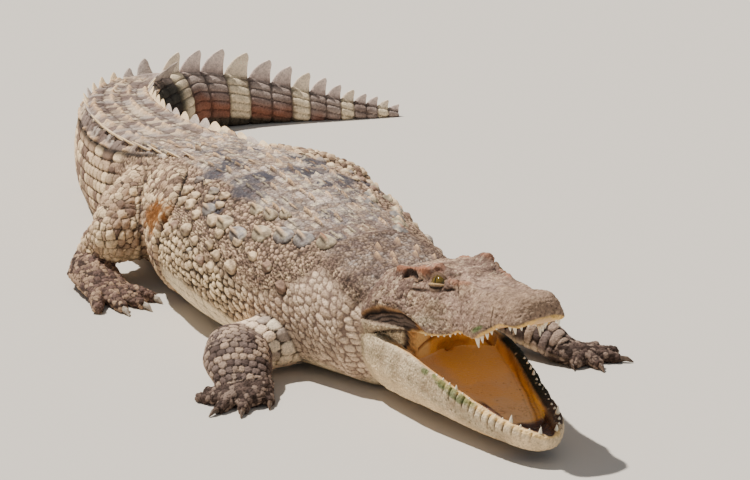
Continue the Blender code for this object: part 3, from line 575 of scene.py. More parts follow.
# ---------------------------------------------------------------- meshes
def linked(name, data):
    """An object of the scene."""
    obj = bpy.data.objects.new(name, data)
    bpy.context.scene.collection.objects.link(obj)
    return obj


def new_object(name, points, faces, smooth=True):
    mesh = bpy.data.meshes.new(name)
    mesh.from_pydata([tuple(p) for p in points], [], [tuple(f) for f in faces])
    mesh.validate()
    if smooth:
        mesh.shade_smooth()
    return linked(name, mesh)


def paint_points(mesh, name, colour):
    """A colour for each point; those of the hide are made fuller first, and the brightest held back."""
    layer = mesh.attributes.new(name, "FLOAT_COLOR", "POINT")
    full = np.ones((len(mesh.vertices), 4), np.float32)
    if name == "hide":
        colour = np.maximum(colour, 0.0)
        grey = colour @ LIGHTNESS
        colour = np.maximum(grey[:, None] + (colour - grey[:, None]) * SATURATION, 0.002)
        grey = np.maximum(colour @ LIGHTNESS, 0.002)
        colour = colour * ((grey / TONE) ** (CONTRAST - 1.0))[:, None]
        peak = np.maximum(colour.max(axis=1), 0.002)
        soft = BRIGHT + HEADROOM * (1.0 - np.exp(-np.maximum(peak - BRIGHT, 0.0) / HEADROOM))
        colour = colour * np.where(peak > BRIGHT, soft / peak, 1.0)[:, None]
    full[:, :3] = np.clip(colour, 0.0, 1.0)
    layer.data.foreach_set("color", full.ravel())


def voxelled(name, points, faces, size, rounds=0):
    """The outside of overlapping shells in small even faces, softened so many rounds."""
    rough = new_object(name, points, faces, smooth=False)
    step = rough.modifiers.new("voxels", "REMESH")
    step.mode = "VOXEL"
    step.voxel_size = size
    if rounds:
        soft = rough.modifiers.new("soft", "SMOOTH")
        soft.factor = 0.5
        soft.iterations = rounds
    mesh = bpy.data.meshes.new_from_object(rough.evaluated_get(bpy.context.evaluated_depsgraph_get()))
    bpy.data.objects.remove(rough)
    return mesh


def turns(count):
    """Even angles once round."""
    return [2 * math.pi * i / count for i in range(count)]


def ring_faces(rings, count, close=True):
    """Quads between rings of equally many points, and fans over both ends to two added points."""
    faces = []
    for k in range(rings - 1):
        for i in range(count):
            j = (i + 1) % count
            faces.append((k * count + i, k * count + j, (k + 1) * count + j, (k + 1) * count + i))
    if close:
        for k, hub in ((0, rings * count), (rings - 1, rings * count + 1)):
            for i in range(count):
                j = (i + 1) % count
                a, b = k * count + i, k * count + j
                faces.append((b, a, hub) if k == 0 else (a, b, hub))
    return faces


def body_shell(body):
    """The smooth neck, trunk and tail, run a little way into the head."""
    rows = list(range(0, len(body.s), 2))
    rings = body.ring_points(np.array(rows))
    front = []
    for reach, size in ((0.045, 0.70), (0.028, 0.84), (0.012, 0.95)):
        middle = rings[0].mean(0)
        front.append(middle + (rings[0] - middle) * size + AHEAD * reach)
    rings = np.concatenate([np.array(front), rings])
    ends = [rings[0].mean(0), rings[-1].mean(0)]
    return np.concatenate([rings.reshape(-1, 3), ends]), ring_faces(len(rings), ANGLES)


def swollen(points, faces, amount):
    """Points moved outwards along their normals. Points that share a place move together."""
    _, first, index = np.unique(np.round(points, 5), axis=0, return_index=True, return_inverse=True)
    index = index.reshape(-1)
    corner = index[faces]
    p = points[first]
    normal = face_normals(p, corner)
    total = np.zeros_like(p)
    for i in range(3):
        np.add.at(total, corner[:, i], normal)
    return p + unit(total) * amount, corner


def toothless(points, matrix, edge, up):
    """The jaw's points with every tooth drawn back into the gum."""
    own = into(matrix, points)
    half, level = edge.at(own[:, 0])
    beyond = (own[:, 2] - level) * up
    near = (np.abs(own[:, 1]) > half * 0.35) & (own[:, 0] > 0.12)
    tooth = near & (beyond > 0.0008)
    own[tooth, 2] = (level - 0.0025 * up)[tooth]
    return out_of(matrix, own)


def skin_mesh(body, upper, lower, lip, rim):
    """One closed mesh over all the flesh, in small even faces."""
    shells = [body_shell(body)]
    inner = {"upper_arm": body.line[np.argmin(np.abs(body.s - 0.20))],
             "thigh": body.line[np.argmin(np.abs(body.s - 0.80))]}
    for name in ARMS + LEGS:
        points, faces, _ = node_arrays((name,))
        points, faces = swollen(points, faces, 0.0016)
        shells.append((points, faces))
        kind = name.rsplit("_", 1)[0]
        if kind in inner:
            way = np.append(inner[kind] - points[:, :2].mean(0), 0.0)
            shells.append((points + unit(way) * 0.035, faces))
    for name, matrix, edge, up in (("head", upper, lip, -1), ("lower_jaw", lower, rim, 1)):
        points, faces, _ = node_arrays((name,))
        shells.append(swollen(toothless(points, matrix, edge, up), faces, 0.0008))
    for name in MOUTH:
        points, faces, _ = node_arrays((name,))
        shells.append(swollen(points, faces, 0.0012))
    all_points, all_faces, base = [], [], 0
    for points, faces in shells:
        all_points.extend(points)
        all_faces.extend(tuple(int(i) + base for i in f) for f in faces)
        base += len(points)
    return voxelled("rough_skin", all_points, all_faces, VOXEL)


def refine(mesh, wanted):
    """Every face whose points are all wanted is cut in four."""
    work = bmesh.new()
    work.from_mesh(mesh)
    work.verts.ensure_lookup_table()
    for vert, take in zip(work.verts, wanted):
        vert.tag = bool(take)
    edges = [e for e in work.edges if e.verts[0].tag and e.verts[1].tag]
    bmesh.ops.subdivide_edges(work, edges=edges, cuts=1, use_grid_fill=True)
    work.to_mesh(mesh)
    work.free()


class Surface:
    """The skin as arrays."""

    def __init__(self, mesh):
        self.mesh = mesh
        self.points, self.faces = mesh_arrays(mesh)
        edges = np.empty(len(mesh.edges) * 2, np.int32)
        mesh.edges.foreach_get("vertices", edges)
        self.edges = edges.reshape(-1, 2)
        self.count = (np.bincount(self.edges[:, 0], minlength=len(self.points))
                      + np.bincount(self.edges[:, 1], minlength=len(self.points)))

    def around(self, values):
        """Mean of each vertex's neighbours."""
        a, b = self.edges.T
        size = len(self.points)
        values = values.reshape(size, -1)
        out = [np.bincount(a, values[b, i], size) + np.bincount(b, values[a, i], size)
               for i in range(values.shape[1])]
        return np.stack(out, 1) / np.maximum(self.count, 1)[:, None]

    def soften(self, values, rounds, weight=0.5):
        for _ in range(rounds):
            values = values + weight * (self.around(values).reshape(values.shape) - values)
        return values

    def relax(self, weight, rounds):
        for _ in range(rounds):
            self.points += weight[:, None] * (self.around(self.points) - self.points)

    def normals(self):
        face = face_normals(self.points, self.faces)
        size = len(self.points)
        return unit(np.stack([sum(np.bincount(corner, face[:, i], size) for corner in self.faces.T)
                              for i in range(3)], 1))

    def labels(self):
        """The CAD node nearest to each vertex."""
        points, faces, owner = node_arrays(FLESH)
        tree = tree_of(points, faces)
        return owner[[tree.find_nearest(Vector(p))[2] for p in self.points]]

    def store(self):
        self.mesh.vertices.foreach_set("co", self.points.ravel())
        self.mesh.update()
        self.mesh.shade_smooth()


def is_part(labels, *names):
    return np.isin(labels, [LABEL[n] for n in names])


class Shells:
    """Many small closed shells gathered into one mesh, each with its own colours and patch of the map."""

    def __init__(self):
        self.points, self.faces, self.colours, self.maps = [], [], [], []
        self.base = 0

    def add(self, points, faces, colours, spots):
        """Points (n, 3), faces as lists, colours (n, 3), places on the map (n, 2)."""
        self.points.append(points)
        self.colours.append(colours)
        self.maps.append(spots)
        self.faces.extend(tuple(int(i) + self.base for i in f) for f in faces)
        self.base += len(points)

    def add_grids(self, tops, normals, colours, roots, depth=0.003):
        """Domes: tops (n, rows, columns, 3) over the skin, closed by a skirt that goes into it."""
        count, rows, columns = tops.shape[:3]
        around = ([(0, j) for j in range(columns)] + [(i, columns - 1) for i in range(1, rows)]
                  + [(rows - 1, j) for j in range(columns - 2, -1, -1)]
                  + [(i, 0) for i in range(rows - 2, 0, -1)])
        rim = [i * columns + j for i, j in around]
        base = rows * columns
        faces = [(i * columns + j, i * columns + j + 1, (i + 1) * columns + j + 1, (i + 1) * columns + j)
                 for i in range(rows - 1) for j in range(columns - 1)]
        for k in range(len(rim)):
            n = (k + 1) % len(rim)
            faces.append((rim[n], rim[k], base + k, base + n))
        faces.append(tuple(base + k for k in reversed(range(len(rim)))))
        a, b = np.meshgrid(np.linspace(-1, 1, rows), np.linspace(-1, 1, columns), indexing="ij")
        patch = np.stack([a, b], 2).reshape(-1, 2) * 0.0015
        for k in range(count):
            top = tops[k].reshape(-1, 3)
            skirt = top[rim] - normals[k].reshape(-1, 3)[rim] * depth
            shade = colours[k].reshape(-1, 3)
            spots = np.concatenate([patch, patch[rim]]) + roots[k]
            self.add(np.concatenate([top, skirt]), faces, np.concatenate([shade, shade[rim]]), spots)

    def build(self, name, material):
        obj = new_object(name, np.concatenate(self.points), self.faces)
        mesh = obj.data
        paint_points(mesh, "hide", np.concatenate(self.colours))
        spots = np.concatenate(self.maps)
        layer = mesh.uv_layers.new(name="OFBake")
        corners = np.empty(len(mesh.loops), np.int32)
        mesh.loops.foreach_get("vertex_index", corners)
        layer.data.foreach_set("uv", spots[corners].astype(np.float32).ravel())
        mesh.materials.append(material)
        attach(obj, "root")
        return obj


def on_map(body, s, u):
    """Place of a length and arc on the unwrapped body."""
    return np.stack([0.01 + 0.98 * np.asarray(s) / body.s[-1], 0.5 + 0.48 * np.asarray(u) / CHART], -1)


# ---------------------------------------------------------------- relief and colour of the skin
def crest_stations():
    s, out = CREST_START, []
    while s < CREST_END:
        fade = float(ramp(s, 2.02, CREST_END))
        pitch = CREST_PITCH + (CREST_PITCH_END - CREST_PITCH) * fade
        out.append((s, pitch, s >= CREST_SINGLE))
        s += pitch
    return out


def whorl_at(s):
    """Number of the tail's whorl at each length, and the place in it from -0.5 to 0.5."""
    stations = crest_stations()
    middles = np.array([m for m, _, _ in stations])
    pitches = np.array([p for _, p, _ in stations])
    ends = np.concatenate([[middles[0] - CREST_PITCH / 2], middles + pitches / 2])
    number = np.interp(s, ends, np.arange(len(ends)))
    number = np.where(s < ends[0], (s - ends[0]) / CREST_PITCH, number)
    number = np.where(s > ends[-1], len(ends) - 1 + (s - ends[-1]) / CREST_PITCH_END, number)
    row = np.floor(number)
    return row.astype(np.int64), number - row - 0.5


SHIELD = ((0.12, 0.020), (0.16, 0.055), (0.20, 0.085), (0.24, 0.104), (0.33, 0.112), (0.45, 0.108),
          (0.60, 0.116), (0.72, 0.100), (0.80, 0.094), (0.88, 0.106), (0.96, 0.118), (1.06, 0.126),
          (1.20, 0.126), (1.40, 0.112), (1.60, 0.094), (1.80, 0.062), (1.91, 0.040), (2.00, 0.014),
          (2.60, 0.006))


def paint_trunk(s, u, points, near):
    """Relief in metres and colour of the neck, trunk and tail. near is 1 on the skin of the body itself."""
    w = np.abs(u)
    shield = table(s, SHIELD)
    low = w - shield
    big = noise(points, 0.10, 3)
    mid = noise(points, 0.035, 4)
    fine = noise(points, 0.009, 5)

    # granules of the flank, finest on the neck; the gaps between them darkened, partly as painted shade
    size = 0.0088 + 0.0040 * ramp(low, 0.08, 0.17) - 0.0022 * ramp(s, 0.20, 0.05)
    first, gap, own = grains(points / size[:, None], 1.0, 0.8, 11)
    dome = ramp(gap, 0.03, 0.40)
    neck = ramp(s, 0.24, 0.10)
    colour = coats((0.530, 0.375, 0.270),
                   (MAUVE, 0.35 * ramp(big, -0.3, 0.7)),
                   (CREAM, (0.30 + 0.30 * ramp(low, 0.06, 0.12)) * (own > 0.66)),
                   (MAUVE, 0.60 * (own < 0.25)),
                   (MAUVE, 0.65 * neck * ramp(mid, -0.7, 0.3) * ramp(w, 0.20, 0.15)),
                   (CREAM, 0.45 * neck * ramp(w, 0.17, 0.22)),
                   (UMBER, 0.85 * (1 - dome)))
    height = 0.0027 * dome + 0.0015 * mid

    # folds of the skin behind the jaw and over the shoulder, with painted shade in their troughs
    crease = s * 0.9 + 0.35 * w + 0.012 * big
    fold = np.abs(np.mod(crease / 0.030, 1.0) - 0.5) * 2
    folds = ramp(s, 0.17, 0.03) * ramp(w, 0.07, 0.12)
    height += folds * 0.0035 * ramp(fold, 1.0, 0.55)
    colour = mix(colour, UMBER, 0.45 * folds * ramp(fold, 0.78, 1.0))

    # beads in rows low on the flank, dark between them, partly as painted shade
    shift = 0.030 * span(s, 0.10, 0.20, 0.45, 0.60)
    belt = ramp(low + 0.010 * mid - shift, 0.092, 0.125) * ramp(s, 1.02, 0.92)
    lean = s + 0.30 * (w - 0.20)
    first, gap, own = cells((lean + 0.004 * mid) / 0.0160, w / 0.0145 + 0.3 * big, 0.72, 31)
    bead = ramp(gap, 0.03, 0.45) * ramp(first, 0.80, 0.30)
    front = ramp(s, 0.34, 0.16)
    height = replaced(height, (0.0042 - 0.0014 * front) * bead, belt)
    groove = mix(UMBER, (0.270, 0.190, 0.150), 0.85 * front)
    beads = mix(groove, mix(CREAM, (0.600, 0.465, 0.355), 0.80 * front),
                   0.05 + 0.95 * ramp(bead, 0.05 - 0.04 * front, 0.6 - 0.25 * front) * (0.46 + 0.54 * own))
    beads = mix(beads, TAN, 0.40 * (own < 0.35) * bead) * 1.08
    colour = mix(colour, beads, belt)

    # belly tiles, with dark grooves between them, partly painted shade
    belly = ramp(low + 0.006 * mid - 0.060 * ramp(s, 0.30, 0.12), 0.215, 0.240) * ramp(s, 1.05, 0.95)
    fa, fb, own = tiles(s / 0.030, u / 0.024, 0.0, 41)
    tile = plate(fa, fb, 0.06, 6.0)
    height = replaced(height, 0.0014 * tile, belly)
    colour = mix(colour, coats(PALE, (TAN, 0.25 * own), (UMBER, 0.55 * (1 - tile))), belly)

    # nape: bare, finely grained skin, dark between the grains, partly as painted shade
    nape = ramp(s, 0.175, 0.150) * ramp(w, 0.115, 0.07)
    _, gap, own = grains(points, 0.0075, 0.8, 15)
    dome = ramp(gap, 0.03, 0.35)
    bare = coats(GREY, (MAUVE, 0.65 * ramp(mid, -0.5, 0.4)), (TAN, 0.5 * (own > 0.6)),
                 (MAUVE, 0.5 * (own < 0.3)), (UMBER, 0.7 * (1 - dome)))
    height = replaced(height, 0.0018 * dome + 0.0022 * mid, nape)
    colour = mix(colour, bare, nape)

    # skin between the plates of the back, dark between its grains, partly as painted shade
    armour = ramp(low, 0.006, -0.004) * span(s, 0.155, 0.172, 0.95, 0.99)
    _, gap, own = grains(points, 0.0080, 0.8, 17)
    dome = ramp(gap, 0.03, 0.35)
    back = coats(GREY, (TAN, 0.6 * (own > 0.6)), (MAUVE, 0.45 * (own < 0.3)),
                 (UMBER, 0.55 * (1 - dome)), (MAUVE, 0.50 * ramp(s, 0.27, 0.17)))
    height = replaced(height, 0.0012 * dome, armour)
    colour = mix(colour, back, armour)

    # hollows round the bumps, with a painted shadow on the lower side of each
    for a, b, size in bump_list():
        ring = bell(np.hypot(s - a, u - b) / size, 1.15, 0.22)
        height -= 0.0022 * ring
        colour = mix(colour, UMBER, 0.75 * ring * ramp(w - abs(b), -0.6 * size, 0.6 * size))

    # the thigh's root, that overlaps the flank along a deep crease painted black as shade; the scales' gaps
    # darkened, partly as painted shade
    past = s - table(w, HAUNCH) + 0.003 * mid
    root = ramp(w, 0.105, 0.140)
    haunch = root * ramp(past, -0.001, 0.004) * ramp(s, 0.96, 0.90)
    gap, own, dome = round_scales(points, 0.0165, 84)
    scales = coats(TAN, (CREAM, 0.80 * ramp(own, 0.35, 0.9)), (MAUVE, 0.60 * (own < 0.25)),
                   (UMBER, 0.88 * ramp(gap, 0.16, 0.02)))
    swell = span(past, 0.0, 0.020, 0.05, 0.14)
    height = replaced(height, 0.0042 * dome + 0.0060 * swell, haunch)
    colour = mix(colour, scales, haunch)
    crease = bell(past, -0.002, 0.0060) * root * ramp(w, 0.36, 0.30)
    height -= 0.0065 * crease
    colour = mix(colour, BLACK, 0.92 * ramp(crease, 0.15, 0.75))

    # the tail
    tail = ramp(s, 0.92, 1.02)
    relief, side = paint_tail(s, u, low, shield, points, mid, fine)
    height = replaced(height, relief, tail)
    colour = mix(colour, side, tail)
    # painted shadow: a black line under the crest's rows, just off the edge of the shield
    colour = mix(colour, BLACK, 0.75 * bell(low, 0.004, 0.006) * span(s, 0.80, 0.86, 1.5, 1.75))

    # dark patches on the rear of the shield
    for a, b, size in DARK_SKIN:
        d = np.hypot((s - a) * 0.8, w * np.sign(b) - b) / size
        colour = mix(colour, SLATE, 0.80 * ramp(d + 0.35 * mid, 1.2, 0.6))
    # stain on the rear of the flank, inside the thigh
    d = np.hypot((s - 0.660) / 0.085, (u + 0.243) / 0.040) + 0.35 * fine
    colour = mix(colour, (0.260, 0.095, 0.022), 0.85 * ramp(d + 0.25 * mid, 1.1, 0.5))
    return height * near, colour


def paint_tail(s, u, low, shield, points, mid, fine):
    """Whorls of tall tiles on the sides, flat plates between the crest's rows and smooth tiles below."""
    row, fa = whorl_at(s)
    tall = 0.0240 - 0.006 * ramp(s, 1.8, 2.4)
    fb = low / tall
    column = np.floor(fb).astype(np.int64)
    fb = fb - column - 0.5
    split = ramp(low, 0.02, 0.05) * ramp(s, 1.75, 1.6)
    fa_side = np.where(split > 0.5, np.mod(fa + 0.5, 0.5) * 2 - 0.5, fa)
    part = np.where(split > 0.5, (fa > 0).astype(np.int64), 0)
    own = random_at(row * 2 + part, column + 20 * (u > 0), 0, 61)
    tile = plate(fa_side, fb, 0.11, 4.0)
    relief = 0.0048 * tile * (1 - 0.30 * np.abs(2 * fb) ** 2)
    far = ramp(s, 1.72, 1.86)
    banded = coats((0.300, 0.210, 0.180),
                   (GREY, 0.65 * ramp(low, 0.055, 0.025)),
                   ((0.330, 0.130, 0.080), 0.80 * ramp(low + 0.02 * mid, 0.040, 0.075)),
                   (PALE, 0.85 * (row % 3 == 1)),
                   (MAUVE, 0.45 * ramp(mid, 0.0, 0.7)))
    inner = ramp(u, 0.030, 0.060) * span(s, 1.35, 1.50, 1.90, 1.955)
    # here and below, the grooves between tiles are darkened, partly as painted shade
    side = coats(TAN,
                 (CREAM, 0.85 * ramp(own, 0.25, 0.75)),
                 (MAUVE, 0.60 * (own < 0.28)),
                 (MAUVE, 0.55 * (row % 4 == 0) * ramp(noise(points, 0.05, 9), -0.6, 0.3)),
                 (banded, far),
                 ((0.035, 0.040, 0.032), 0.85 * inner),
                 (UMBER, (0.88 - 0.40 * far) * (1 - ramp(tile, 0.0, 0.7))))
    # between the crest rows: flat plates, two to a whorl on each side
    fold_a = np.mod(fa + 0.5 + 0.12 * mid, 0.5) * 2 - 0.5
    across = np.abs(u) / np.maximum(shield, 0.01) * 2.6 + 0.10 * fine
    column = np.floor(across).astype(np.int64)
    fb = across - column - 0.5
    tile = plate(fold_a, fb, 0.10, 4.0)
    own = random_at(row * 2 + (fa > 0), column + 9 * (u > 0), 0, 71)
    over = coats(GREY, (MAUVE, 0.60 * (own < 0.45)), (CREAM, 0.45 * (own > 0.75)),
                 (MAUVE, 0.50 * ramp(mid, 0.0, 0.5)), (UMBER, 0.55 * (1 - ramp(tile, 0.0, 0.8)))) * 0.92
    keeled = own > 0.35
    spur = bell(fb, 0.0, 0.11) * span(fold_a, -0.40, 0.05, 0.36, 0.5) * keeled
    shadow = bell(fb * np.sign(-u), -0.24, 0.10) * ramp(fold_a, -0.3, 0.1) * keeled
    over = coats(over, (KEEL, 0.75 * spur), (UMBER, 0.70 * shadow))
    top = ramp(low, 0.003, -0.003) * (1 - far)
    relief = replaced(relief, 0.0022 * tile + 0.0070 * spur + 0.0008 * fine, top)
    under = ramp(low, table(s, ((1.0, 0.19), (1.5, 0.155), (2.0, 0.105), (2.5, 0.035))),
                 table(s, ((1.0, 0.22), (1.5, 0.18), (2.0, 0.125), (2.5, 0.045))))
    belly_tail = coats(PALE, (UMBER, 0.6 * (1 - tile)), (BLACK, 0.85 * far))
    return relief, coats(side, (over, top), (belly_tail, under))


def round_scales(points, size, seed):
    """Domed scales of uneven outline: distance from the edge, random number, height."""
    first, gap, own = grains(points, size, 0.62, seed)
    return gap, own, ramp(gap, 0.02, 0.50) * 0.6 + 0.4 * ramp(first, 0.75, 0.0)


def bump_list():
    """Round bumps of both flanks: length, signed arc, half size."""
    out = []
    rows = ((0.168, 0.430, 0.049, 0.0120), (0.196, 0.180, 0.047, 0.0118), (0.236, 0.300, 0.043, 0.0112),
            (0.136, 0.455, 0.047, 0.0105), (0.262, 0.350, 0.036, 0.0085))
    for k, (arc, start, pitch, size) in enumerate(rows):
        last = float(table(arc, HAUNCH)) - 0.030
        for i in range(14):
            s = start + i * pitch
            if s > last:
                break
            for side in (-1, 1):
                a, b, c = (float(random_at(i, k, side + m, 5)) for m in (2, 4, 6))
                narrow = 1.0 - 0.16 * float(ramp(s, 0.62, 0.74))
                out.append((s + (a - 0.5) * 0.016, side * (arc * narrow + (b - 0.5) * 0.018),
                            size * (0.78 + 0.42 * c)))
    return out


def limb_axis(names):
    """Joints of a limb from the middles of its nodes, run on at both ends."""
    mids = []
    for name in names:
        low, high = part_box(name)
        mids.append(np.array((low + high) / 2))
    first = mids[0] + (mids[0] - mids[1]) * 0.8
    last = mids[-1] + (mids[-1] - mids[-2]) * 1.5
    return np.array([first] + mids + [last])


def along_limb(points, joints):
    """Length along the limb and the angle round it."""
    best, t_out, angle_out = np.full(len(points), 9.0), 0.0, 0.0
    gone = 0.0
    for a, b in zip(joints, joints[1:]):
        way = b - a
        length = np.linalg.norm(way)
        way = way / length
        t = np.clip((points - a) @ way, 0.0, length)
        off = points - a - t[:, None] * way
        far = np.linalg.norm(off, axis=1)
        side = unit(np.cross(way, UP))
        up = np.cross(side, way)
        angle = np.arctan2(off @ side, off @ up)
        near = far < best
        t_out = np.where(near, gone + (points - a) @ way, t_out)
        angle_out = np.where(near, angle, angle_out)
        best = np.where(near, far, best)
        gone += length
    return t_out, angle_out


def paint_limb(points, joints, long, wide, base, light, dark, seed, radius, groove):
    """Relief and colour of a limb's scales: rows across it, or round ones where radius is nothing."""
    if radius:
        t, angle = along_limb(points, joints)
        fa, fb, own = tiles(t / long, angle * radius / wide, 0.5, seed, 0.4)
        tile = plate(fa, fb, groove, 3.0)
        dome = tile * (1 - 0.45 * (np.abs(2 * fa) ** 2 + np.abs(2 * fb) ** 2) / 2)
    else:
        gap, own, dome = round_scales(points, long, seed)
        tile = ramp(gap, 0.02, 0.16)
    # the grooves between scales are darkened, partly as painted shade
    return dome, coats(base, (light, 0.85 * ramp(own, 0.35, 0.9)), (dark, 0.60 * (own < 0.17)),
                       (MAUVE, 0.30 * ramp(noise(points, 0.007, 68), 0.1, 0.7)),
                       (UMBER, 0.88 * (1 - ramp(tile, 0.0, 0.75))))


def paint_limbs(points, normal, labels, height, colour):
    """The same for every part of the four limbs, put in place in the skin's own lists."""
    for side in ("right", "left"):
        arm = limb_axis((f"upper_arm_{side}", f"forearm_{side}", f"hand_{side}"))
        leg = limb_axis((f"thigh_{side}", f"shin_{side}", f"foot_{side}"))
        # size of the scales along and across, colours, seed, the limb's radius, height, groove
        long, wide, rise, groove = (0.0165, 0.055, 0.0026, 0.08) if side == "left" else (
            0.0125, 0.0200, 0.0020, 0.11)
        plans = (
            ("upper_arm", arm, 0.025, 0.023, (0.900, 0.700, 0.520), (1.000, 0.850, 0.660), SLATE, 81, 0.050,
             0.0030, 0.06),
            ("forearm", arm, long, wide, (0.235, 0.175, 0.152), (0.470, 0.345, 0.255), (0.090, 0.060, 0.052),
             82, 0.052, rise, groove),
            ("hand", arm, 0.0100, 0, (0.120, 0.080, 0.066), (0.300, 0.220, 0.175), UMBER, 83, 0, 0.0022, 0),
            ("thigh", leg, 0.0175, 0, TAN, CREAM, MAUVE, 84, 0, 0.0048, 0),
            ("shin", leg, 0.0150, 0, TAN, CREAM, MAUVE, 85, 0, 0.0042, 0),
            ("foot", leg, 0.0110, 0, MAUVE, TAN, UMBER, 86, 0, 0.0026, 0),
        )
        for part, joints, long, wide, base, light, dark, seed, radius, rise, groove in plans:
            mine = is_part(labels, f"{part}_{side}")
            p = points[mine]
            dome, shade = paint_limb(p, joints, long, wide, base, light, dark, seed, radius, groove)
            pale = ramp(normal[mine, 2], -0.15, -0.6) * ramp(p[:, 2], 0.012, 0.03)
            height[mine] = rise * dome
            colour[mine] = mix(shade, CREAM, 0.45 * pale)


def paint_head(p, up):
    """Bones, wrinkles and colours of the skull; p are its own coordinates, up its normals' rise."""
    x, y, z = p.T
    near = np.abs(y)
    mid = noise(p, 0.022, 8)
    big = noise(p, 0.05, 9)
    fine = noise(p, 0.0045, 7)
    _, gap, own = grains(p, 0.0062, 0.9, 81)
    snout = ramp(x, 0.19, 0.25)
    # the gaps between grains are darkened, partly as painted shade
    shade = coats(SKULL,
                  (TAN, 0.60 * ramp(mid, -0.3, 0.6)),
                  (MAUVE, 0.60 * ramp(big, 0.0, 0.6)),
                  (MAUVE, (0.48 - 0.24 * snout) * (own < 0.32)),
                  (PALE, (0.26 - 0.14 * snout) * (own > 0.80)),
                  (UMBER, (0.45 - 0.25 * snout) * ramp(gap, 0.14, 0.0)),
                  (UMBER, 0.40 * ramp(fine, 0.15, 0.7)))
    h = 0.0012 * ramp(gap, 0.0, 0.4) * (1 - 0.5 * snout) + 0.0009 * fine + 0.0018 * mid + 0.0015 * big

    # edge of the cranial table and the hollow under it, over the ear; the hollow is painted dark as shade
    rough = 1.0 + 0.35 * noise(p, 0.011, 61)
    edge = bell(near, 0.060, 0.0060) * span(x, 0.030, 0.050, 0.145, 0.165) * ramp(z, 0.080, 0.092)
    h += 0.0095 * edge * rough
    shade = mix(shade, BRICK, 0.70 * ramp(edge + 0.35 * fine, 0.25, 0.8))
    rim = 0.0985 - 8.0 * (x - 0.092) ** 2
    ear = bell(z, rim + 0.0015 * fine, 0.0042) * span(x, 0.062, 0.072, 0.108, 0.126)
    ear = ear * ramp(near, 0.048, 0.058)
    h -= 0.0100 * ear
    flap = bell(z, rim - 0.008, 0.003) * ramp(ear, 0.02, 0.1) * (near > 0.05)
    shade = coats(shade, (UMBER, 0.95 * ramp(ear, 0.20, 0.70)), ((0.480, 0.310, 0.170), 0.60 * flap))
    # brow over each eye
    brow = spot((x - 0.162) / 2.0, near - 0.049, 0.0105) * ramp(z, 0.080, 0.094)
    h += 0.0075 * brow * rough
    horn = spot((x - 0.136) / 1.5, z - 0.101, 0.0065) * ramp(near, 0.040, 0.050)
    h += 0.0050 * horn
    shade = mix(shade, BRICK, 0.60 * horn)
    step = span(x, 0.190, 0.200, 0.205, 0.250) * ramp(near, 0.018, 0.034) * ramp(up, 0.2, 0.6)
    h -= 0.0055 * step
    shade = mix(shade, BRICK, 0.45 * ramp(brow, 0.35, 0.8))
    # ridge that runs forward from the eye
    line = 0.053 - 0.32 * (x - 0.195)
    ridge = bell(near, line, 0.0055) * span(x, 0.185, 0.200, 0.235, 0.262) * ramp(up, 0.1, 0.4)
    h += 0.0060 * ridge * rough
    shade = mix(shade, BRICK, 0.45 * ramp(ridge + 0.35 * fine, 0.3, 0.8))
    # fold under and behind the eye, the crease at the eye's hind corner and the groove ahead of it, each
    # painted dark as shade
    sag = table(x, ((0.100, 0.072), (0.118, 0.0745), (0.140, 0.0725), (0.160, 0.0730), (0.190, 0.0705),
                    (0.206, 0.0745), (0.222, 0.0700)))
    fold = bell(z, sag + 0.0012 * fine, 0.0030) * span(x, 0.100, 0.116, 0.206, 0.222) * (near > 0.040)
    h -= 0.0038 * fold
    shade = mix(shade, UMBER, 0.80 * ramp(fold, 0.15, 0.9))
    corner = bell(z, 0.088 + 0.25 * (x - 0.130), 0.0022) * span(x, 0.108, 0.120, 0.132, 0.142) * (near > 0.05)
    h -= 0.0035 * corner
    shade = mix(shade, UMBER, 0.90 * ramp(corner, 0.3, 0.8))
    rest = bell(x, 0.214 + 0.6 * (0.085 - z), 0.0020) * ramp(z, 0.056, 0.064) * (near > 0.030)
    h -= 0.0022 * rest
    shade = mix(shade, UMBER, 0.60 * rest)
    # lumps of the cheek, dark between them, partly as painted shade
    lumps = span(x, 0.005, 0.03, 0.120, 0.150) * ramp(z, 0.088, 0.070) * ramp(near, 0.07, 0.09)
    _, gap, own = grains(p, 0.012, 0.9, 83)
    h += lumps * 0.0030 * ramp(gap, 0.0, 0.45)
    shade = coats(shade,
                  (UMBER, 0.65 * lumps * ramp(gap, 0.16, 0.02)),
                  (CREAM, 0.25 * lumps * (own > 0.7)),
                  ((0.260, 0.185, 0.120), 0.50 * spot((x - 0.175) / 2.4, z - 0.044, 0.012)),
                  ((0.480, 0.420, 0.300), 0.50 * spot((x - 0.160) / 3.0, z - 0.020 + 0.01 * mid, 0.012)),
                  (TAN, 0.35 * ramp(x, 0.28, 0.34))) * (1.0 - 0.13 * ramp(x, 0.24, 0.32))[:, None]
    # hollows along the snout, and its wrinkles
    h -= 0.0030 * bell(near, 0.022, 0.010) * span(x, 0.215, 0.250, 0.320, 0.350) * ramp(up, 0.4, 0.7)
    h += 0.0022 * bell(near, 0.0, 0.007) * span(x, 0.200, 0.240, 0.330, 0.350) * ramp(up, 0.4, 0.7)
    # nostrils on their bump, the holes painted black as shade
    bump = spot((x - 0.374) / 1.1, near - 0.004, 0.021) * ramp(up, 0.2, 0.6)
    h += 0.0030 * bump
    hole = spot((x - 0.376 + 0.5 * near) * 1.5, near - 0.0095, 0.0030) * ramp(up, 0.6, 0.8)
    h -= 0.0055 * hole
    shade = mix(shade, BLACK, 0.9 * ramp(hole, 0.3, 0.7))
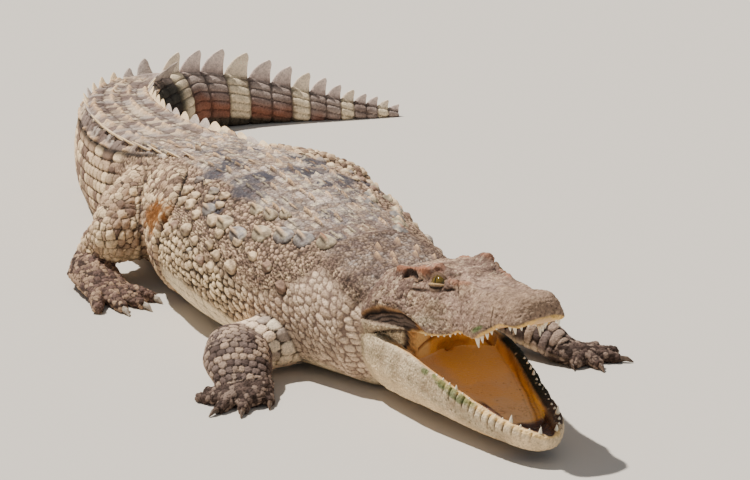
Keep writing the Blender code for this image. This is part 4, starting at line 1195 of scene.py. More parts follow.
    # painted shade: the snout's crease and the seam low on its side are darkened dents
    crease = bell(x, 0.350 - 0.30 * near, 0.0020) * ramp(up, 0.2, 0.5) * (near < 0.040)
    h -= 0.0018 * crease
    shade = mix(shade, UMBER, 0.50 * ramp(crease, 0.3, 0.9))
    seam = bell(x, 0.331, 0.0012) * ramp(z, 0.050, 0.035)
    shade = mix(shade, UMBER, 0.75 * seam)
    h -= 0.0012 * seam
    # smooth, dark skin round each eye
    away = np.sqrt((x - EYE_AT.x) ** 2 + (near - EYE_AT.y) ** 2 + (z - EYE_AT.z) ** 2)
    orbit = ramp(away, EYE_RADIUS + 0.012, EYE_RADIUS + 0.005)
    h = h * (1 - 0.85 * orbit) - 0.0012 * orbit
    return h, mix(shade, MAUVE, 0.45 * orbit), mid


def paint_upper(p, way, lip):
    """The skull with its lip, the corner of the mouth and the roof: relief, colour and wetness."""
    up = way[:, 2]
    h, shade, mid = paint_head(p, up)
    x, y, z = p.T
    near = np.abs(y)
    half, level = lip.at(x)
    above = z - level
    # swellings of the lip over the big teeth, pores, the pale rim
    for at, length in UPPER_TEETH:
        swell = bell(x, at - 0.003, 0.0055) * bell(above, 0.004, 0.010) * (near > half - 0.02)
        h += (0.0010 + 0.10 * length) * swell
    pits, _, _ = grains(p, 0.0095, 0.9, 97)
    pores = ramp(pits, 0.26, 0.14) * span(above, 0.002, 0.005, 0.018, 0.026) * (x > 0.14)
    shade = mix(shade, UMBER, 0.60 * pores)
    h -= 0.0006 * pores
    rim = ramp(above + 0.003 * mid, 0.0055, 0.0015) * ramp(x, 0.150, 0.160)
    shade = mix(shade, GUM, 0.75 * rim)
    green = spot((x - 0.302) / 2.6, above - 0.013, 0.0065) * (y < 0)
    shade = mix(shade, ALGAE, 0.75 * ramp(green + 0.25 * mid, 0.35, 0.85))
    # the fold that hangs over the corner of the mouth, and the hollow under it: a dark brown band, a black
    # band of painted shadow under the fold's edge, grey folded skin with its creases painted black as shade,
    # and a grey pad whose gaps are darkened, partly as painted shade
    arch = table(x, ((-0.03, 0.034), (0.0, 0.044), (0.04, 0.050), (0.10, 0.042), (0.127, 0.030),
                     (0.146, 0.016), (0.160, 0.004)))
    under = arch - z
    hollow = ramp(under, -0.001, 0.004) * (near > 0.055) * span(x, -0.035, -0.015, 0.152, 0.160)
    hollow = hollow * ramp(up, 0.9, 0.6)
    h = h * (1 - hollow) - 0.0085 * hollow * ramp(under, 0.0, 0.010)
    h += 0.0035 * bell(under, -0.007, 0.006) * (near > 0.055) * span(x, -0.02, 0.02, 0.135, 0.160)
    crease = np.abs(np.mod((under + 0.10 * x + 0.003 * mid) / 0.0085, 1.0) - 0.5) * 2
    blot = noise(p * (0.5, 0.5, 1.0), 0.008, 62)
    inner = coats((0.390, 0.220, 0.110),
                  ((0.150, 0.080, 0.045), ramp(under + 0.002 * blot, 0.001, 0.006)),
                  (BLACK, 0.92 * bell(under + 0.003 * blot, 0.0095, 0.0035)),
                  ((0.200, 0.150, 0.125), 0.80 * ramp(under + 0.003 * blot, 0.012, 0.017)),
                  (BLACK, 0.75 * ramp(crease + 0.5 * blot, 0.45, 1.00) * ramp(under, 0.013, 0.018)),
                  (AMBER, 0.85 * ramp(x, 0.122, 0.140) * ramp(under, 0.000, 0.004)))
    _, gap, own = grains(p, 0.0056, 0.9, 95)
    pad = ramp(0.017 - 0.15 * (x - 0.030) - z + 0.0020 * blot, -0.002, 0.003) * ramp(x, 0.106, 0.096)
    h += hollow * pad * (0.0070 + 0.0012 * ramp(gap, 0.0, 0.4))
    grey = coats(JAW, (TAN, 0.6 * (own < 0.4)), (UMBER, 0.5 * ramp(gap, 0.16, 0.02)))
    shade = mix(shade, mix(inner, grey, pad), hollow)
    # roof of the mouth: pale yellow near the lip, partly the gum's own colour and partly painted light where
    # the roof lies in shade; amber and then umber towards the back
    roof = ramp(up, -0.15, -0.45) * ramp(near, half - 0.001, half - 0.006) * (x > -0.02)
    flesh = coats(PEACH,
                  (FLAME, 0.55 * ramp(mid, -0.4, 0.5)),
                  ((1.0, 0.740, 0.350), 0.9 * ramp(half - near, 0.034, 0.018) * ramp(x, 0.30, 0.24)),
                  (GUM, 0.8 * ramp(half - near, 0.016, 0.008) * ramp(x, 0.24, 0.30)),
                  (AMBER, 0.85 * ramp(x, 0.150, 0.130)),
                  (UMBER, 0.90 * ramp(x, 0.122, 0.108)))
    ribs = 0.0008 * np.sin(x / 0.0024) * ramp(half - near, 0.010, 0.016)
    return replaced(h, ribs, roof), mix(shade, flesh, roof), roof


def paint_jaw(p, way, rim):
    """The lower jaw, its gum and its trough: relief, colour and wetness."""
    x, y, z = p.T
    near = np.abs(y)
    half, level = rim.at(x)
    below = level - z
    mid = noise(p, 0.022, 18)
    fine = noise(p, 0.004, 17)
    _, gap, own = grains(p, 0.0055, 0.9, 91)
    ahead, out = way[:, 0], way[:, 1] * np.sign(y)
    shade = coats(JAW,
                  (PALE, 0.45 * ramp(mid, -0.3, 0.6)),
                  (TAN, 0.35 * (own < 0.3)),
                  (UMBER, 0.45 * (own > 0.90) * ramp(gap, 0.1, 0.4)),
                  (CREAM, 0.65 * ramp(below, 0.035, 0.060)),
                  (CREAM, 0.55 * ramp(x, 0.34, 0.40)))
    h = 0.0005 * fine + 0.0005 * ramp(gap, 0.0, 0.4) + 0.0008 * mid
    # the gum's outer side: a lump before each tooth, dark gaps between, partly painted shade
    band = span(below, -0.004, 0.001, 0.012, 0.022) * ramp(out, 0.0, 0.4) * ramp(x, 0.195, 0.225)
    band = band * (0.75 + 0.5 * mid) * (1 - 0.45 * ramp(x, 0.36, 0.39))
    tooth = np.interp(x, [a for a, _ in reversed(LOWER_TEETH)], range(len(LOWER_TEETH)))
    phase = np.abs(np.mod(tooth, 1.0) - 0.5)
    lump = ramp(phase, 0.02, 0.22)
    h += band * 0.0042 * (lump - 0.35)
    rimming = ramp(below + 0.003 * mid, 0.007, 0.002) * ramp(x, 0.17, 0.21)
    green = span(x, 0.140, 0.170, 0.270, 0.315) * span(below, -0.006, 0.0, 0.007, 0.019)
    green = green * (y < 0) * ramp(out, -0.2, 0.3)
    blot = noise(p, 0.010, 67)
    shade = coats(shade,
                  (PALE, 0.55 * band * lump),
                  (UMBER, 0.80 * band * ramp(phase, 0.13, 0.03)),
                  (GUM, 0.50 * rimming * (y < 0.02)),
                  (ALGAE, 0.72 * ramp(green * (1.0 + 0.60 * blot + 0.2 * mid), 0.45, 1.1)))
    # the far side's rim, stained dark, with pale dots
    far = ramp(y, 0.016, 0.028) * ramp(below, 0.030, 0.018) * ramp(half - y, 0.024, 0.017)
    far = far * ramp(x, 0.08, 0.12) * ramp(x + 0.02 * mid, 0.412, 0.395) * ramp(ahead, 0.55, 0.25)
    stain = coats((0.050, 0.054, 0.040),
                  (PALE, 0.5 * (own > 0.94) * ramp(gap, 0.1, 0.4)), (MAUVE, 0.6 * ramp(x, 0.27, 0.36)))
    # trough: peach and orange, dark purple at the front
    inside = ramp(half - near, 0.008, 0.013) * ramp(below, 0.055, 0.045) * ramp(x, 0.03, 0.06)
    wall = ramp(half - near, 0.004, 0.009) * ramp(out, -0.2, -0.5) * (below < 0.05) * (x > 0.10)
    inside = np.maximum(inside, wall) * (1 - far) * (1 - ramp(ahead, 0.30, 0.60) * ramp(x, 0.36, 0.385))
    flesh = coats(furrows(x, y, mix(PEACH, FLAME, 0.75 * ramp(y, 0.01, 0.05))),
                  ((0.085, 0.045, 0.045), 0.90 * ramp(x, 0.325, 0.350)),
                  (GUM, 0.5 * ramp(half - near, 0.016, 0.010) * ramp(x, 0.36, 0.33)))
    return h * (1 - 0.8 * inside), coats(shade, (stain, far), (flesh, inside)), inside


def furrows(x, y, shade):
    """The dark orange wall on the left of the tongue, and the furrows that run along it."""
    past = y - table(x, ((0.08, 0.094), (0.134, 0.088), (0.165, 0.080), (0.214, 0.067), (0.269, 0.047),
                         (0.322, 0.028), (0.368, 0.006)))
    wave = 0.0012 * np.sin(x / 0.013)
    grooves = ((0.0, 0.0022, 0.50), (0.008, 0.0016, 0.30), (0.021, 0.0018, 0.28), (-0.009, 0.0014, 0.20))
    return coats(shade,
                 ((0.640, 0.290, 0.055), 0.85 * ramp(past, -0.010, 0.002)),
                 ((0.900, 0.520, 0.150), 0.60 * bell(past, 0.014, 0.005)),
                 *(((0.190, 0.065, 0.018), deep * bell(past, at + wave, wide)) for at, wide, deep in grooves))


def paint_tongue(p, *_):
    x, y, _ = p.T
    mid = noise(p, 0.030, 28)
    _, gap, own = grains(p, 0.0050, 0.9, 93)
    shade = coats(PEACH,
                  ((0.900, 0.540, 0.210), 0.85 * ramp(x + 0.04 * mid, 0.225, 0.160) * ramp(y, -0.05, -0.02)),
                  (FLAME, 0.35 * ramp(mid, 0.0, 0.6)))
    worm = bell(noise(p, 0.010, 64), 0.0, 0.14) * spot(x - 0.315, (y + 0.010) / 1.4, 0.024)
    shade = coats(furrows(x, y, shade),
                  (RUST, 0.35 * (own > 0.955) * ramp(gap, 0.05, 0.3) * ramp(x, 0.16, 0.24)),
                  (RUST, 0.50 * worm),
                  (WINE, 0.9 * ramp(x + 0.1 * np.abs(y), 0.352, 0.366)),
                  (WINE, 0.9 * ramp(-y, 0.034, 0.040) * ramp(x, 0.25, 0.28)))
    return 0.0006 * mid + 0.0004 * ramp(gap, 0.0, 0.4), shade, 1.0


def paint_lining(p, *_):
    """The throat, and the cheek folds behind the corner of the mouth."""
    x, y, z = p.T
    near = np.abs(y)
    mid = noise(p, 0.020, 38)
    valve = bell(z, 0.030 - 4.0 * (y + 0.01) ** 2 * 1.2, 0.0030) * (near < 0.075)
    shade = coats((0.520, 0.240, 0.070),
                  (FLAME, 0.7 * ramp(mid, -0.5, 0.5)),
                  ((0.760, 0.520, 0.240), 0.85 * ramp(y, -0.044, -0.056) * ramp(z, -0.012, 0.004)),
                  (RUST, 0.75 * valve))
    folds = ramp(near, 0.072, 0.084)
    crease = np.abs(np.mod((z + 0.30 * x + 0.004 * mid) / 0.0105, 1.0) - 0.5) * 2
    pad = ramp(x, 0.079, 0.071)
    _, gap, own = grains(p, 0.0056, 0.9, 95)
    grey = coats(np.array(JAW) * 1.25, (TAN, 0.5 * (own < 0.4)), (UMBER, 0.50 * ramp(gap, 0.16, 0.02)))
    # cheek folds: dark brown going orange forward, their creases painted black as shade, and a grey pad whose
    # gaps are darkened, partly as painted shade
    cheek = coats((0.110, 0.070, 0.048),
                  ((0.430, 0.225, 0.095), ramp(x, 0.080, 0.092)),
                  (BLACK, 0.70 * ramp(crease, 0.55, 0.95) * ramp(x, 0.090, 0.080)),
                  (grey, pad))
    ridges = 0.0030 * (1 - crease) * (1 - pad) + pad * (0.0065 + 0.0012 * ramp(gap, 0.0, 0.4))
    return replaced(0.0010 * mid - 0.0035 * valve, ridges, folds), mix(shade, cheek, folds), 1.0 - folds


# ---------------------------------------------------------------- solid pieces over the skin
def rounded(a, b, amount):
    """Square grid places drawn in towards a disc."""
    return tuple(c * (1 - amount + amount * np.sqrt(1 - d * d / 2)) for c, d in ((a, b), (b, a)))


def scutes(body, shells, s, u, long, wide, rise, keel, base, top, roundness=0.5, rows=13, columns=11,
           lean=0.0, keel_width=0.16, border=0.75, tent=0.0, shade_line=0.6):
    """Keeled scutes lying on the body. Every argument from s to keel is one number to a scute."""
    s, u, long, wide, rise, keel = (np.asarray(v, float)[:, None, None]
                                    for v in (s, u, long, wide, rise, keel))
    a, b = np.meshgrid(np.linspace(-1, 1, rows), np.linspace(-1, 1, columns), indexing="ij")
    ra, rb = rounded(a, b, roundness)
    place, normal, along, _ = body.surface(s + ra * long / 2, u + rb * wide / 2)
    place[..., 2] = np.maximum(place[..., 2], 0.0006)
    cover = (1 - np.abs(a) ** 3.5) * (1 - np.abs(b) ** 3.5)
    wobble = noise(place.reshape(-1, 3), 0.006, 43).reshape(place.shape[:3])
    ridge = np.exp(-np.abs(b / keel_width) ** 1.6) * span(a, -1.0, 0.30, 0.80, 1.0)
    roof = (1 - np.abs(b)) ** 0.85 * (0.35 + 0.65 * ramp(a, -1.0, 0.45)) * (1 - np.abs(a) ** 6)
    h = rise * (cover ** 0.6 * (1 - tent) + roof * tent) + keel * ridge
    h = h + 0.0010 * wobble * cover - 0.0008 * (1 - cover)
    place = place + normal * h[..., None] + along * (lean * keel * ridge * ramp(a, -0.2, 0.8))[..., None]
    flecks = noise(place.reshape(-1, 3), 0.0095, 53).reshape(place.shape[:3])
    shade = coats(base[:, None, None, :],
                  (PALE, 0.55 * ramp(flecks, 0.15, 0.65)), (MAUVE, 0.50 * ramp(flecks, -0.15, -0.65)))
    # dark borders, partly painted shade in the crevice round each scute; a painted shadow beside the keel and
    # painted shade over a tent's near slope; and the pale keel itself
    side = np.sign(u) + (u == 0)
    under = bell(b * side, 2.1 * keel_width, 1.1 * keel_width) * ramp(a, -0.75, -0.2)
    under = under * np.where(side < 0, 1.0, 0.4)
    crown = bell(b, 0.0, 0.9 * keel_width) * ramp(a, -0.7, 0.1)
    shade = coats(shade * (1.0 + 0.30 * wobble[..., None]),
                  (UMBER, border * (1 - ramp(cover, 0.0, 0.45))),
                  (UMBER, shade_line * under),
                  (UMBER, 0.80 * tent * ramp(b * side, 0.10, 0.95) * (side < 0)),
                  (top[:, None, None, :], 0.9 * crown))
    shells.add_grids(place, normal, shade, on_map(body, s[:, 0, 0], u[:, 0, 0]))


def back_armour(body):
    """The shield: rows of keeled plates from the shoulders to the tail's crest."""
    shells = Shells()
    s, u, keel, base, top = [], [], [], [], []
    row, at = 0, 0.186
    while at < 0.95:
        half = float(table(at, SHIELD)) - 0.010
        count = max(2, 2 * int(round(half / PLATE_WIDE)))
        for k in range(count):
            offset = (k - (count - 1) / 2) * PLATE_WIDE
            r, q, t = (float(random_at(row, k, m, 77)) for m in (0, 1, 2))
            s.append(at + (r - 0.5) * 0.018)
            u.append(offset + (q - 0.5) * 0.010)
            outer = abs(offset) / max(half, 0.02)
            keel.append((0.0066 + 0.0030 * outer) * ((0.30 + 1.0 * r) if q > 0.30 else 0.22))
            colour = np.array(GREY) * (0.65 + 0.60 * q) * (1.0 - 0.10 * float(ramp(at, 0.50, 0.70)))
            colour = mix(colour, MAUVE, 0.55 * ramp(at + 0.03 * (r - 0.5), 0.270, 0.185))
            if t < 0.30:
                colour = mix(colour, TAN, 0.6)
            dark = 0.6 if t > 0.90 else 0.0
            for a, b, size in DARK_PLATES:
                dark = max(dark, float(ramp(math.hypot(at - a, offset - b), size * 1.5, size * 0.8)))
            base.append(mix(colour, SLATE, 0.85 * dark))
            crown = np.array(KEEL) if r > 0.35 else np.array(PALE) * 0.85
            top.append(crown * (1 - 0.5 * dark))
        row += 1
        at += PLATE_LONG
    n = len(s)
    scutes(body, shells, s, u, [PLATE_LONG * 1.04] * n, [PLATE_WIDE * 0.98] * n, [0.0020] * n, keel,
           np.array(base), np.array(top), roundness=0.30, rows=17, columns=21, lean=0.6, keel_width=0.085,
           border=0.35, shade_line=0.80)
    return shells


def shoulder_armour(body):
    """The big scutes over each shoulder and the flank's bumps."""
    shells = Shells()
    s, u, size, rise, base, top = [], [], [], [], [], []
    for side in (-1, 1):
        for k, (at, arc, half) in enumerate(SHOULDER):
            s.append(at)
            u.append(side * arc)
            size.append(half * (1.95 if side < 0 else 1.65))
            rise.append(0.0155 if side < 0 else 0.0085)
            grey = (k in (1, 2, 4, 9)) if side < 0 else (k % 2 == 0)
            colour = np.array((0.400, 0.365, 0.340)) if grey else np.array(PALE) * 0.80
            base.append(colour * (1.0 if side < 0 else 0.65))
            top.append(np.array(BRICK) if k == 0 else np.array(KEEL))
    n = len(s)
    scutes(body, shells, s, u, size, size, rise, [0.0026] * n, np.array(base), np.array(top),
           roundness=0.85, lean=0.9, keel_width=0.13, rows=21, columns=21, tent=0.75, shade_line=0.90,
           border=0.95)
    bumps = bump_list()
    shades = []
    for k in range(len(bumps)):
        r = float(random_at(k, 3, 1, 9))
        shade = mix(CREAM, TAN, 0.35) * (0.72 + 0.35 * r)
        if r < 0.16:
            shade = np.array(MAUVE) * 0.8 + np.array(TAN) * 0.5
        elif r > 0.88:
            shade = np.array(GREY) * 0.8
        shades.append(shade)
    s, u, size = (np.array(v) for v in zip(*bumps))
    scutes(body, shells, s, u, 2.3 * size, 2.15 * size, 0.72 * size, 0.12 * size, np.array(shades),
           np.array(shades) * 1.12, roundness=1.0, keel_width=0.20, rows=15, columns=15, lean=0.5, tent=0.4,
           shade_line=0.60)
    return shells


def spike_points(root, way, back, across, length, width, sides=10, rings=7):
    """A blunt, slightly hooked spike: rings from the root to the point."""
    points = []
    for k in range(rings):
        t = k / (rings - 1)
        fat = (1 - t) ** 0.8 * 0.97 + 0.03
        middle = root + way * (length * (t * 1.25 - 0.25)) + back * (0.35 * length * t * t)
        for angle in turns(sides):
            points.append(middle + back * (math.cos(angle) * width * 1.60 * fat)
                          + across * (math.sin(angle) * width * 0.52 * fat))
    points += [root - way * (0.3 * length), root + way * length * 1.02 + back * (0.37 * length)]
    return np.array(points)


def nape_spikes(body):
    """The spiky scutes behind the head."""
    shells = Shells()
    faces = ring_faces(7, 10)
    for at, arc, length in SPIKES:
        place, normal, along, across = (v.reshape(3) for v in body.surface(at, arc))
        points = spike_points(place, normal, along, across, length * 0.62, length * 0.60)
        t = np.clip(((points - place) @ normal) / (0.62 * length), 0, 1)
        points = points + 0.0016 * noise(points, 0.006, 65)[:, None] * normal
        shade = mix((0.240, 0.175, 0.150), (0.640, 0.430, 0.260), t ** 1.3)
        shells.add(points, faces, shade, on_map(body, at, arc) + 0.0 * points[:, :2])
    return shells


def crest_fins(body):
    """The fins of the tail: blades that lean towards its tip, close set, in two rows and then one."""
    shells = Shells()
    rings, sides = 15, 20
    faces = ring_faces(rings, sides)
    for n, (at, pitch, single) in enumerate(crest_stations()):
        for side in (0,) if single else (-1, 1):
            height = float(table(at, CREST_HEIGHT)) * (0.86 + 0.12 * float(random_at(n, side, 1, 3)))
            height *= 1.0 - 0.45 * float(span(at, 1.02, 1.25, 1.82, 1.91))
            arc = 0.0 if single else body.arc_at(at, float(table(at, CREST_HALF))) * side
            place = body.surface(at, arc)[0].reshape(3)
            k = int(at / STEP)
            along = np.array((*body.along[k], 0.0))
            out = np.array((*body.left[k], 0.0))
            splay = CREST_SPLAY * (2.2 - 1.2 * float(ramp(at, 0.9, 1.5)))
            up = UP + out * side * splay
            points, shade = [], []
            thick = 0.0050 + 0.085 * height
            pale = np.array((0.940, 0.790, 0.620))
            if not single:
                pale = np.array(CREAM) * 1.05 if random_at(n, side, 2, 3) > 0.35 else np.array(GREY) * 1.1
            for ring in range(rings):
                t = math.sin(0.5 * math.pi * ring / (rings - 1))
                front = (-0.53 + 0.50 * t ** 1.6 + 0.24 * t ** 8) * pitch
                rear = (0.52 - 0.06 * t - 0.16 * max((t - 0.70) / 0.30, 0.0) ** 2) * pitch
                middle = (front + rear) / 2 + CREST_LEAN * 0.6 * pitch * t * t
                reach = max((rear - front) / 2, 0.0012)
                rise = t * height - (0.003 * (1 - t) if ring else 0.008)
                blade = pale * (0.80 + 0.25 * t)
                if single and n % 3 != 1:
                    blade = mix((0.450, 0.350, 0.315), (0.820, 0.690, 0.610), 0.85 * t)
                blade = blade * (0.68 + 0.32 * float(ramp(t, 0.0, 0.22)))
                for i, angle in enumerate(turns(sides)):
                    c, d = math.cos(angle), math.sin(angle)
                    lump = 1.0 + 0.10 * math.sin(5.0 * angle + n)
                    points.append(place + up * rise + along * (middle + reach * np.sign(c) * abs(c) ** 0.8)
                                  + out * (d * thick * (1 - 0.80 * t ** 0.8) * lump))
                    shade.append(blade * (0.88 + 0.24 * float(random_at(n, ring, i, 8))))
            points.append(place - up * 0.010)
            points.append(np.mean(points[(rings - 1) * sides:rings * sides], axis=0))
            shade += [shade[0], shade[-1]]
            drift = np.linspace(0, 0.002, len(points))
            spots = on_map(body, at, arc) + np.stack([0.0 * drift, drift], 1)
            shells.add(np.array(points), faces, np.array(shade), spots)
    return shells


def cone_row(name, teeth, matrix, edge, up_sign, outward, material):
    """Teeth of one jaw: slightly hooked, ringed cones out of the gum."""
    shells = Shells()
    sides, rings = 14, 9
    faces = ring_faces(rings, sides)
    turn = np.array(matrix.to_3x3())
    for side in (-1, 1):
        for k, (x, length) in enumerate(teeth):
            half, level = edge.at(x)
            length = length * (0.92 + 0.16 * float(random_at(k, side, up_sign, 4)))
            base = np.array((x - 0.003, side * max(half - 0.0078, 0.008), level - 0.0005 * up_sign))
            way = unit(np.array((0.06, side * outward, float(up_sign))))
            hook = np.array((-0.10, -0.16 * side, 0.0))
            thick = 0.0021 + 0.15 * length
            points, shade = [], []
            for ring in range(rings):
                t = ring / (rings - 1)
                fat = thick * (1 - t ** 1.5) ** 0.9 * (1.0 if ring else 0.9) + 0.0003
                middle = base + way * (length * (1.30 * t - 0.30)) + hook * (length * t * t)
                points += [middle + np.array((math.cos(angle) * fat, math.sin(angle) * fat * 0.88, 0.0))
                           for angle in turns(sides)]
                shade += [mix(IVORY, (0.48, 0.34, 0.17), ramp(t, 0.40, 0.16))] * sides
            points += [base - way * length * 0.35, base + (way + hook) * length]
            shade += [shade[0], shade[-1]]
            own = np.array(points)
            shells.add(own @ turn.T + np.array(matrix.translation), faces, np.array(shade),
                       np.stack([own[:, 0] * 2, own[:, 1] * 2 + 0.5], 1))
    return shells.build(name, material)


def eye_parts(side):
    """Axes of an eye in its head's coordinates: middle, gaze, forward and up across the gaze."""
    centre = np.array((EYE_AT.x, side * EYE_AT.y, EYE_AT.z))
    gaze = unit(np.array((GAZE.x, side * GAZE.y, GAZE.z)))
    up = unit(UP - gaze * gaze[2])
    ahead = np.cross(up, gaze)
    return centre, gaze, ahead * np.sign(ahead[0]), up


def eyeball(matrix, side, material):
    """A ball with a bulging cornea, an olive iris and an upright slit."""
    centre, gaze, ahead, up = eye_parts(side)
    rings, sides = 60, 72
    points, shade = [], []
    for k in range(rings):
        polar = math.pi * (k + 0.5) / rings
        swell = CORNEA * math.exp(-((polar / 0.50) ** 4))
        for i, angle in enumerate(turns(sides)):
            d = (gaze * math.cos(polar) + (ahead * math.cos(angle) + up * math.sin(angle)) * math.sin(polar))
            points.append(centre + d * (EYE_RADIUS + swell))
            a, b = math.sin(polar) * math.cos(angle), math.sin(polar) * math.sin(angle)
            streak = 0.80 + 0.35 * float(random_at(i // 2, k // 5, 0, 6))
            gold = np.array((0.170, 0.112, 0.026)) * streak * (1.15 - 0.6 * polar)
            gold = mix(gold, (0.05, 0.04, 0.02), 0.75 * ramp(polar, 0.60, 0.76))
            shade.append(coats((0.16, 0.12, 0.07), (gold, ramp(polar, 0.80, 0.70)),
                               (PUPIL, ramp(math.hypot(a / 0.070, b / 0.46), 1.0, 0.80))))
    points += [centre + gaze * (EYE_RADIUS + CORNEA), centre - gaze * EYE_RADIUS]
    shade += [np.array(PUPIL), shade[-1]]
    name = "eye_left" if side > 0 else "eye_right"
    obj = new_object(name + "_ball", out_of(matrix, np.array(points)), ring_faces(rings, sides))
    paint_points(obj.data, "hide", np.array(shade))
    obj.data.materials.append(material)
    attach(obj, "root")
    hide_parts(name)


def eyelids(matrix, material):
    """Lids round both eyes: a thick hood above, a pale rim below, drawn to a corner at each end."""
    shells = Shells()
    sides, rings = 72, 15
    for side in (-1, 1):
        centre, gaze, ahead, up = eye_parts(side)
        points, shade = [], []
        for k in range(rings):
            t = k / (rings - 1)
            grow = t ** 0.85
            lip, fold = float(bell(t, 0.09, 0.07)), float(bell(t, 0.36, 0.06))
            for i, angle in enumerate(turns(sides)):
                c, d = math.cos(angle), math.sin(angle)
                lift = 0.50 * (1 - 0.50 * max(c, 0.0)) if d > 0 else 0.25
                a = 1.18 * np.sign(c) * abs(c) ** 1.15
                b = lift * np.sign(d) * abs(d) ** (1.25 if d > 0 else 0.95) - 0.16 * a
                pa, pb = a * (1 - grow) + LID_REACH * c * grow, b * (1 - grow) + LID_REACH * d * grow
                polar = min(math.hypot(pa, pb), 1.75)
                turn = math.atan2(pb, pa)
                direction = (gaze * math.cos(polar)
                             + (ahead * math.cos(turn) + up * math.sin(turn)) * math.sin(polar))
                if k == 0:
                    r = EYE_RADIUS - 0.0008
                else:
                    r = EYE_RADIUS + 0.0016 + (0.0026 if d < 0 else 0.0048) * lip - 0.0016 * fold
                    r += 0.0022 * t + (0.0024 * float(bell(t, 0.50, 0.2)) if d > 0 else 0.0)
                points.append(centre + direction * r)
                low = float(ramp(d, 0.15, -0.25))
                # pale lower rim, dark upper rim, reddish hood; the crease round the lids painted dark as
                # shade, and a painted black shadow under the lower lid
                tone = np.array(MAUVE) * 0.5 + np.array(TAN) * 0.4
                shade.append(coats(tone * (0.95 + 0.3 * float(random_at(i, k, 0, 5))),
                                   ((0.520, 0.350, 0.180), 0.9 * low * lip),
                                   ((0.110, 0.060, 0.032), 0.8 * (1 - low) * lip),
                                   (UMBER, 0.7 * fold),
                                   (BRICK, 0.7 * ramp(d, 0.1, 0.6) * ramp(t, 0.30, 0.5)),
                                   (BLACK, 0.9 * ramp(d, -0.1, -0.5) * bell(t, 0.30, 0.09))))
        faces = ring_faces(rings, sides, close=False)
        if side < 0:
            faces = [tuple(reversed(f)) for f in faces]
        own = np.array(points)
        shells.add(out_of(matrix, own), faces, np.array(shade), np.stack([own[:, 0], own[:, 2] + 0.5], 1))
    return shells.build("eyelids", material)


def claws(dark, light):
    """Each claw of the frame made smooth, in streaks of a darker and a lighter horn colour."""
    for limb in ("hand", "foot"):
        for side in ("right", "left"):
            for k in (1, 2, 3):
                name = f"claw_{limb}_{side}_{k}"
                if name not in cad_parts:
                    continue
                points, faces, _ = node_arrays((name,))
                points, faces = swollen(points, faces, 0.0004)
                mesh = voxelled("rough_claw", points, faces, 0.0009, 6)
                obj = linked(name + "_horn", mesh)
                mesh.shade_smooth()
                mesh.materials.clear()
                mesh.materials.append(dark if limb == "hand" else light)
                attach(obj, "root")
                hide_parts(name)


# ---------------------------------------------------------------- materials
def node(tree, kind, **sockets):
    """A new node; the words of a socket's name are joined by underscores."""
    made = tree.nodes.new(kind)
    for name, value in sockets.items():
        made.inputs[name.replace("_", " ")].default_value = value
    return made


def new_material(name):
    """A material with its tree and its shader."""
    made = bpy.data.materials.new(name)
    made.use_nodes = True
    tree = made.node_tree
    return made, tree, tree.nodes["Principled BSDF"]


def operation(tree, kind, what):
    made = node(tree, kind)
    made.operation = what
    return made


def painted(tree, layer):
    """The colours that the points carry."""
    made = node(tree, "ShaderNodeAttribute")
    made.attribute_name = layer
    return made


def hide_material(name, grain=0.28, rough=0.62, bump=0.5, wet=False, deep=0.0020, gloss=0.16):
    """Painted colours broken up by fine mottling, with flaky bumps."""
    made, tree, shader = new_material(name)
    link = tree.links.new
    place = node(tree, "ShaderNodeTexCoord")
    paint = painted(tree, "hide")
    speck = node(tree, "ShaderNodeTexNoise", Scale=260.0, Detail=3.0, Roughness=0.65)
    flake = node(tree, "ShaderNodeTexVoronoi", Scale=230.0)
    blotch = node(tree, "ShaderNodeTexNoise", Scale=38.0, Detail=4.0, Roughness=0.6)
    for texture in (speck, flake, blotch):
        link(place.outputs["Object"], texture.inputs["Vector"])
    both = operation(tree, "ShaderNodeMath", "MULTIPLY")
    for k, (texture, swing) in enumerate(((speck, grain), (blotch, grain * 0.6))):
        tone = node(tree, "ShaderNodeMapRange", From_Min=0.30, From_Max=0.70, To_Min=1.0 - swing,
                    To_Max=1.0 + swing)
        link(texture.outputs["Fac"], tone.inputs["Value"])
        link(tone.outputs["Result"], both.inputs[k])
    mottle = both.outputs["Value"]
    if wet:
        moist = painted(tree, "wet")
        calm = node(tree, "ShaderNodeMapRange", To_Max=1.0)
        link(moist.outputs["Fac"], calm.inputs["Value"])
        link(mottle, calm.inputs["To Min"])
        mottle = calm.outputs["Result"]
    scale = operation(tree, "ShaderNodeVectorMath", "SCALE")
    link(paint.outputs["Color"], scale.inputs[0])
    link(mottle, scale.inputs["Scale"])
    link(scale.outputs["Vector"], shader.inputs["Base Color"])
    total = operation(tree, "ShaderNodeMath", "ADD")
    link(speck.outputs["Fac"], total.inputs[0])
    link(flake.outputs["Distance"], total.inputs[1])
    relief = node(tree, "ShaderNodeBump", Strength=bump, Distance=deep)
    link(total.outputs["Value"], relief.inputs["Height"])
    link(relief.outputs["Normal"], shader.inputs["Normal"])
    shader.inputs["Specular IOR Level"].default_value = gloss
    if wet:
        sheen = node(tree, "ShaderNodeMapRange", To_Min=rough, To_Max=0.34)
        link(moist.outputs["Fac"], sheen.inputs["Value"])
        link(sheen.outputs["Result"], shader.inputs["Roughness"])
    else:
        shader.inputs["Roughness"].default_value = rough
    return made


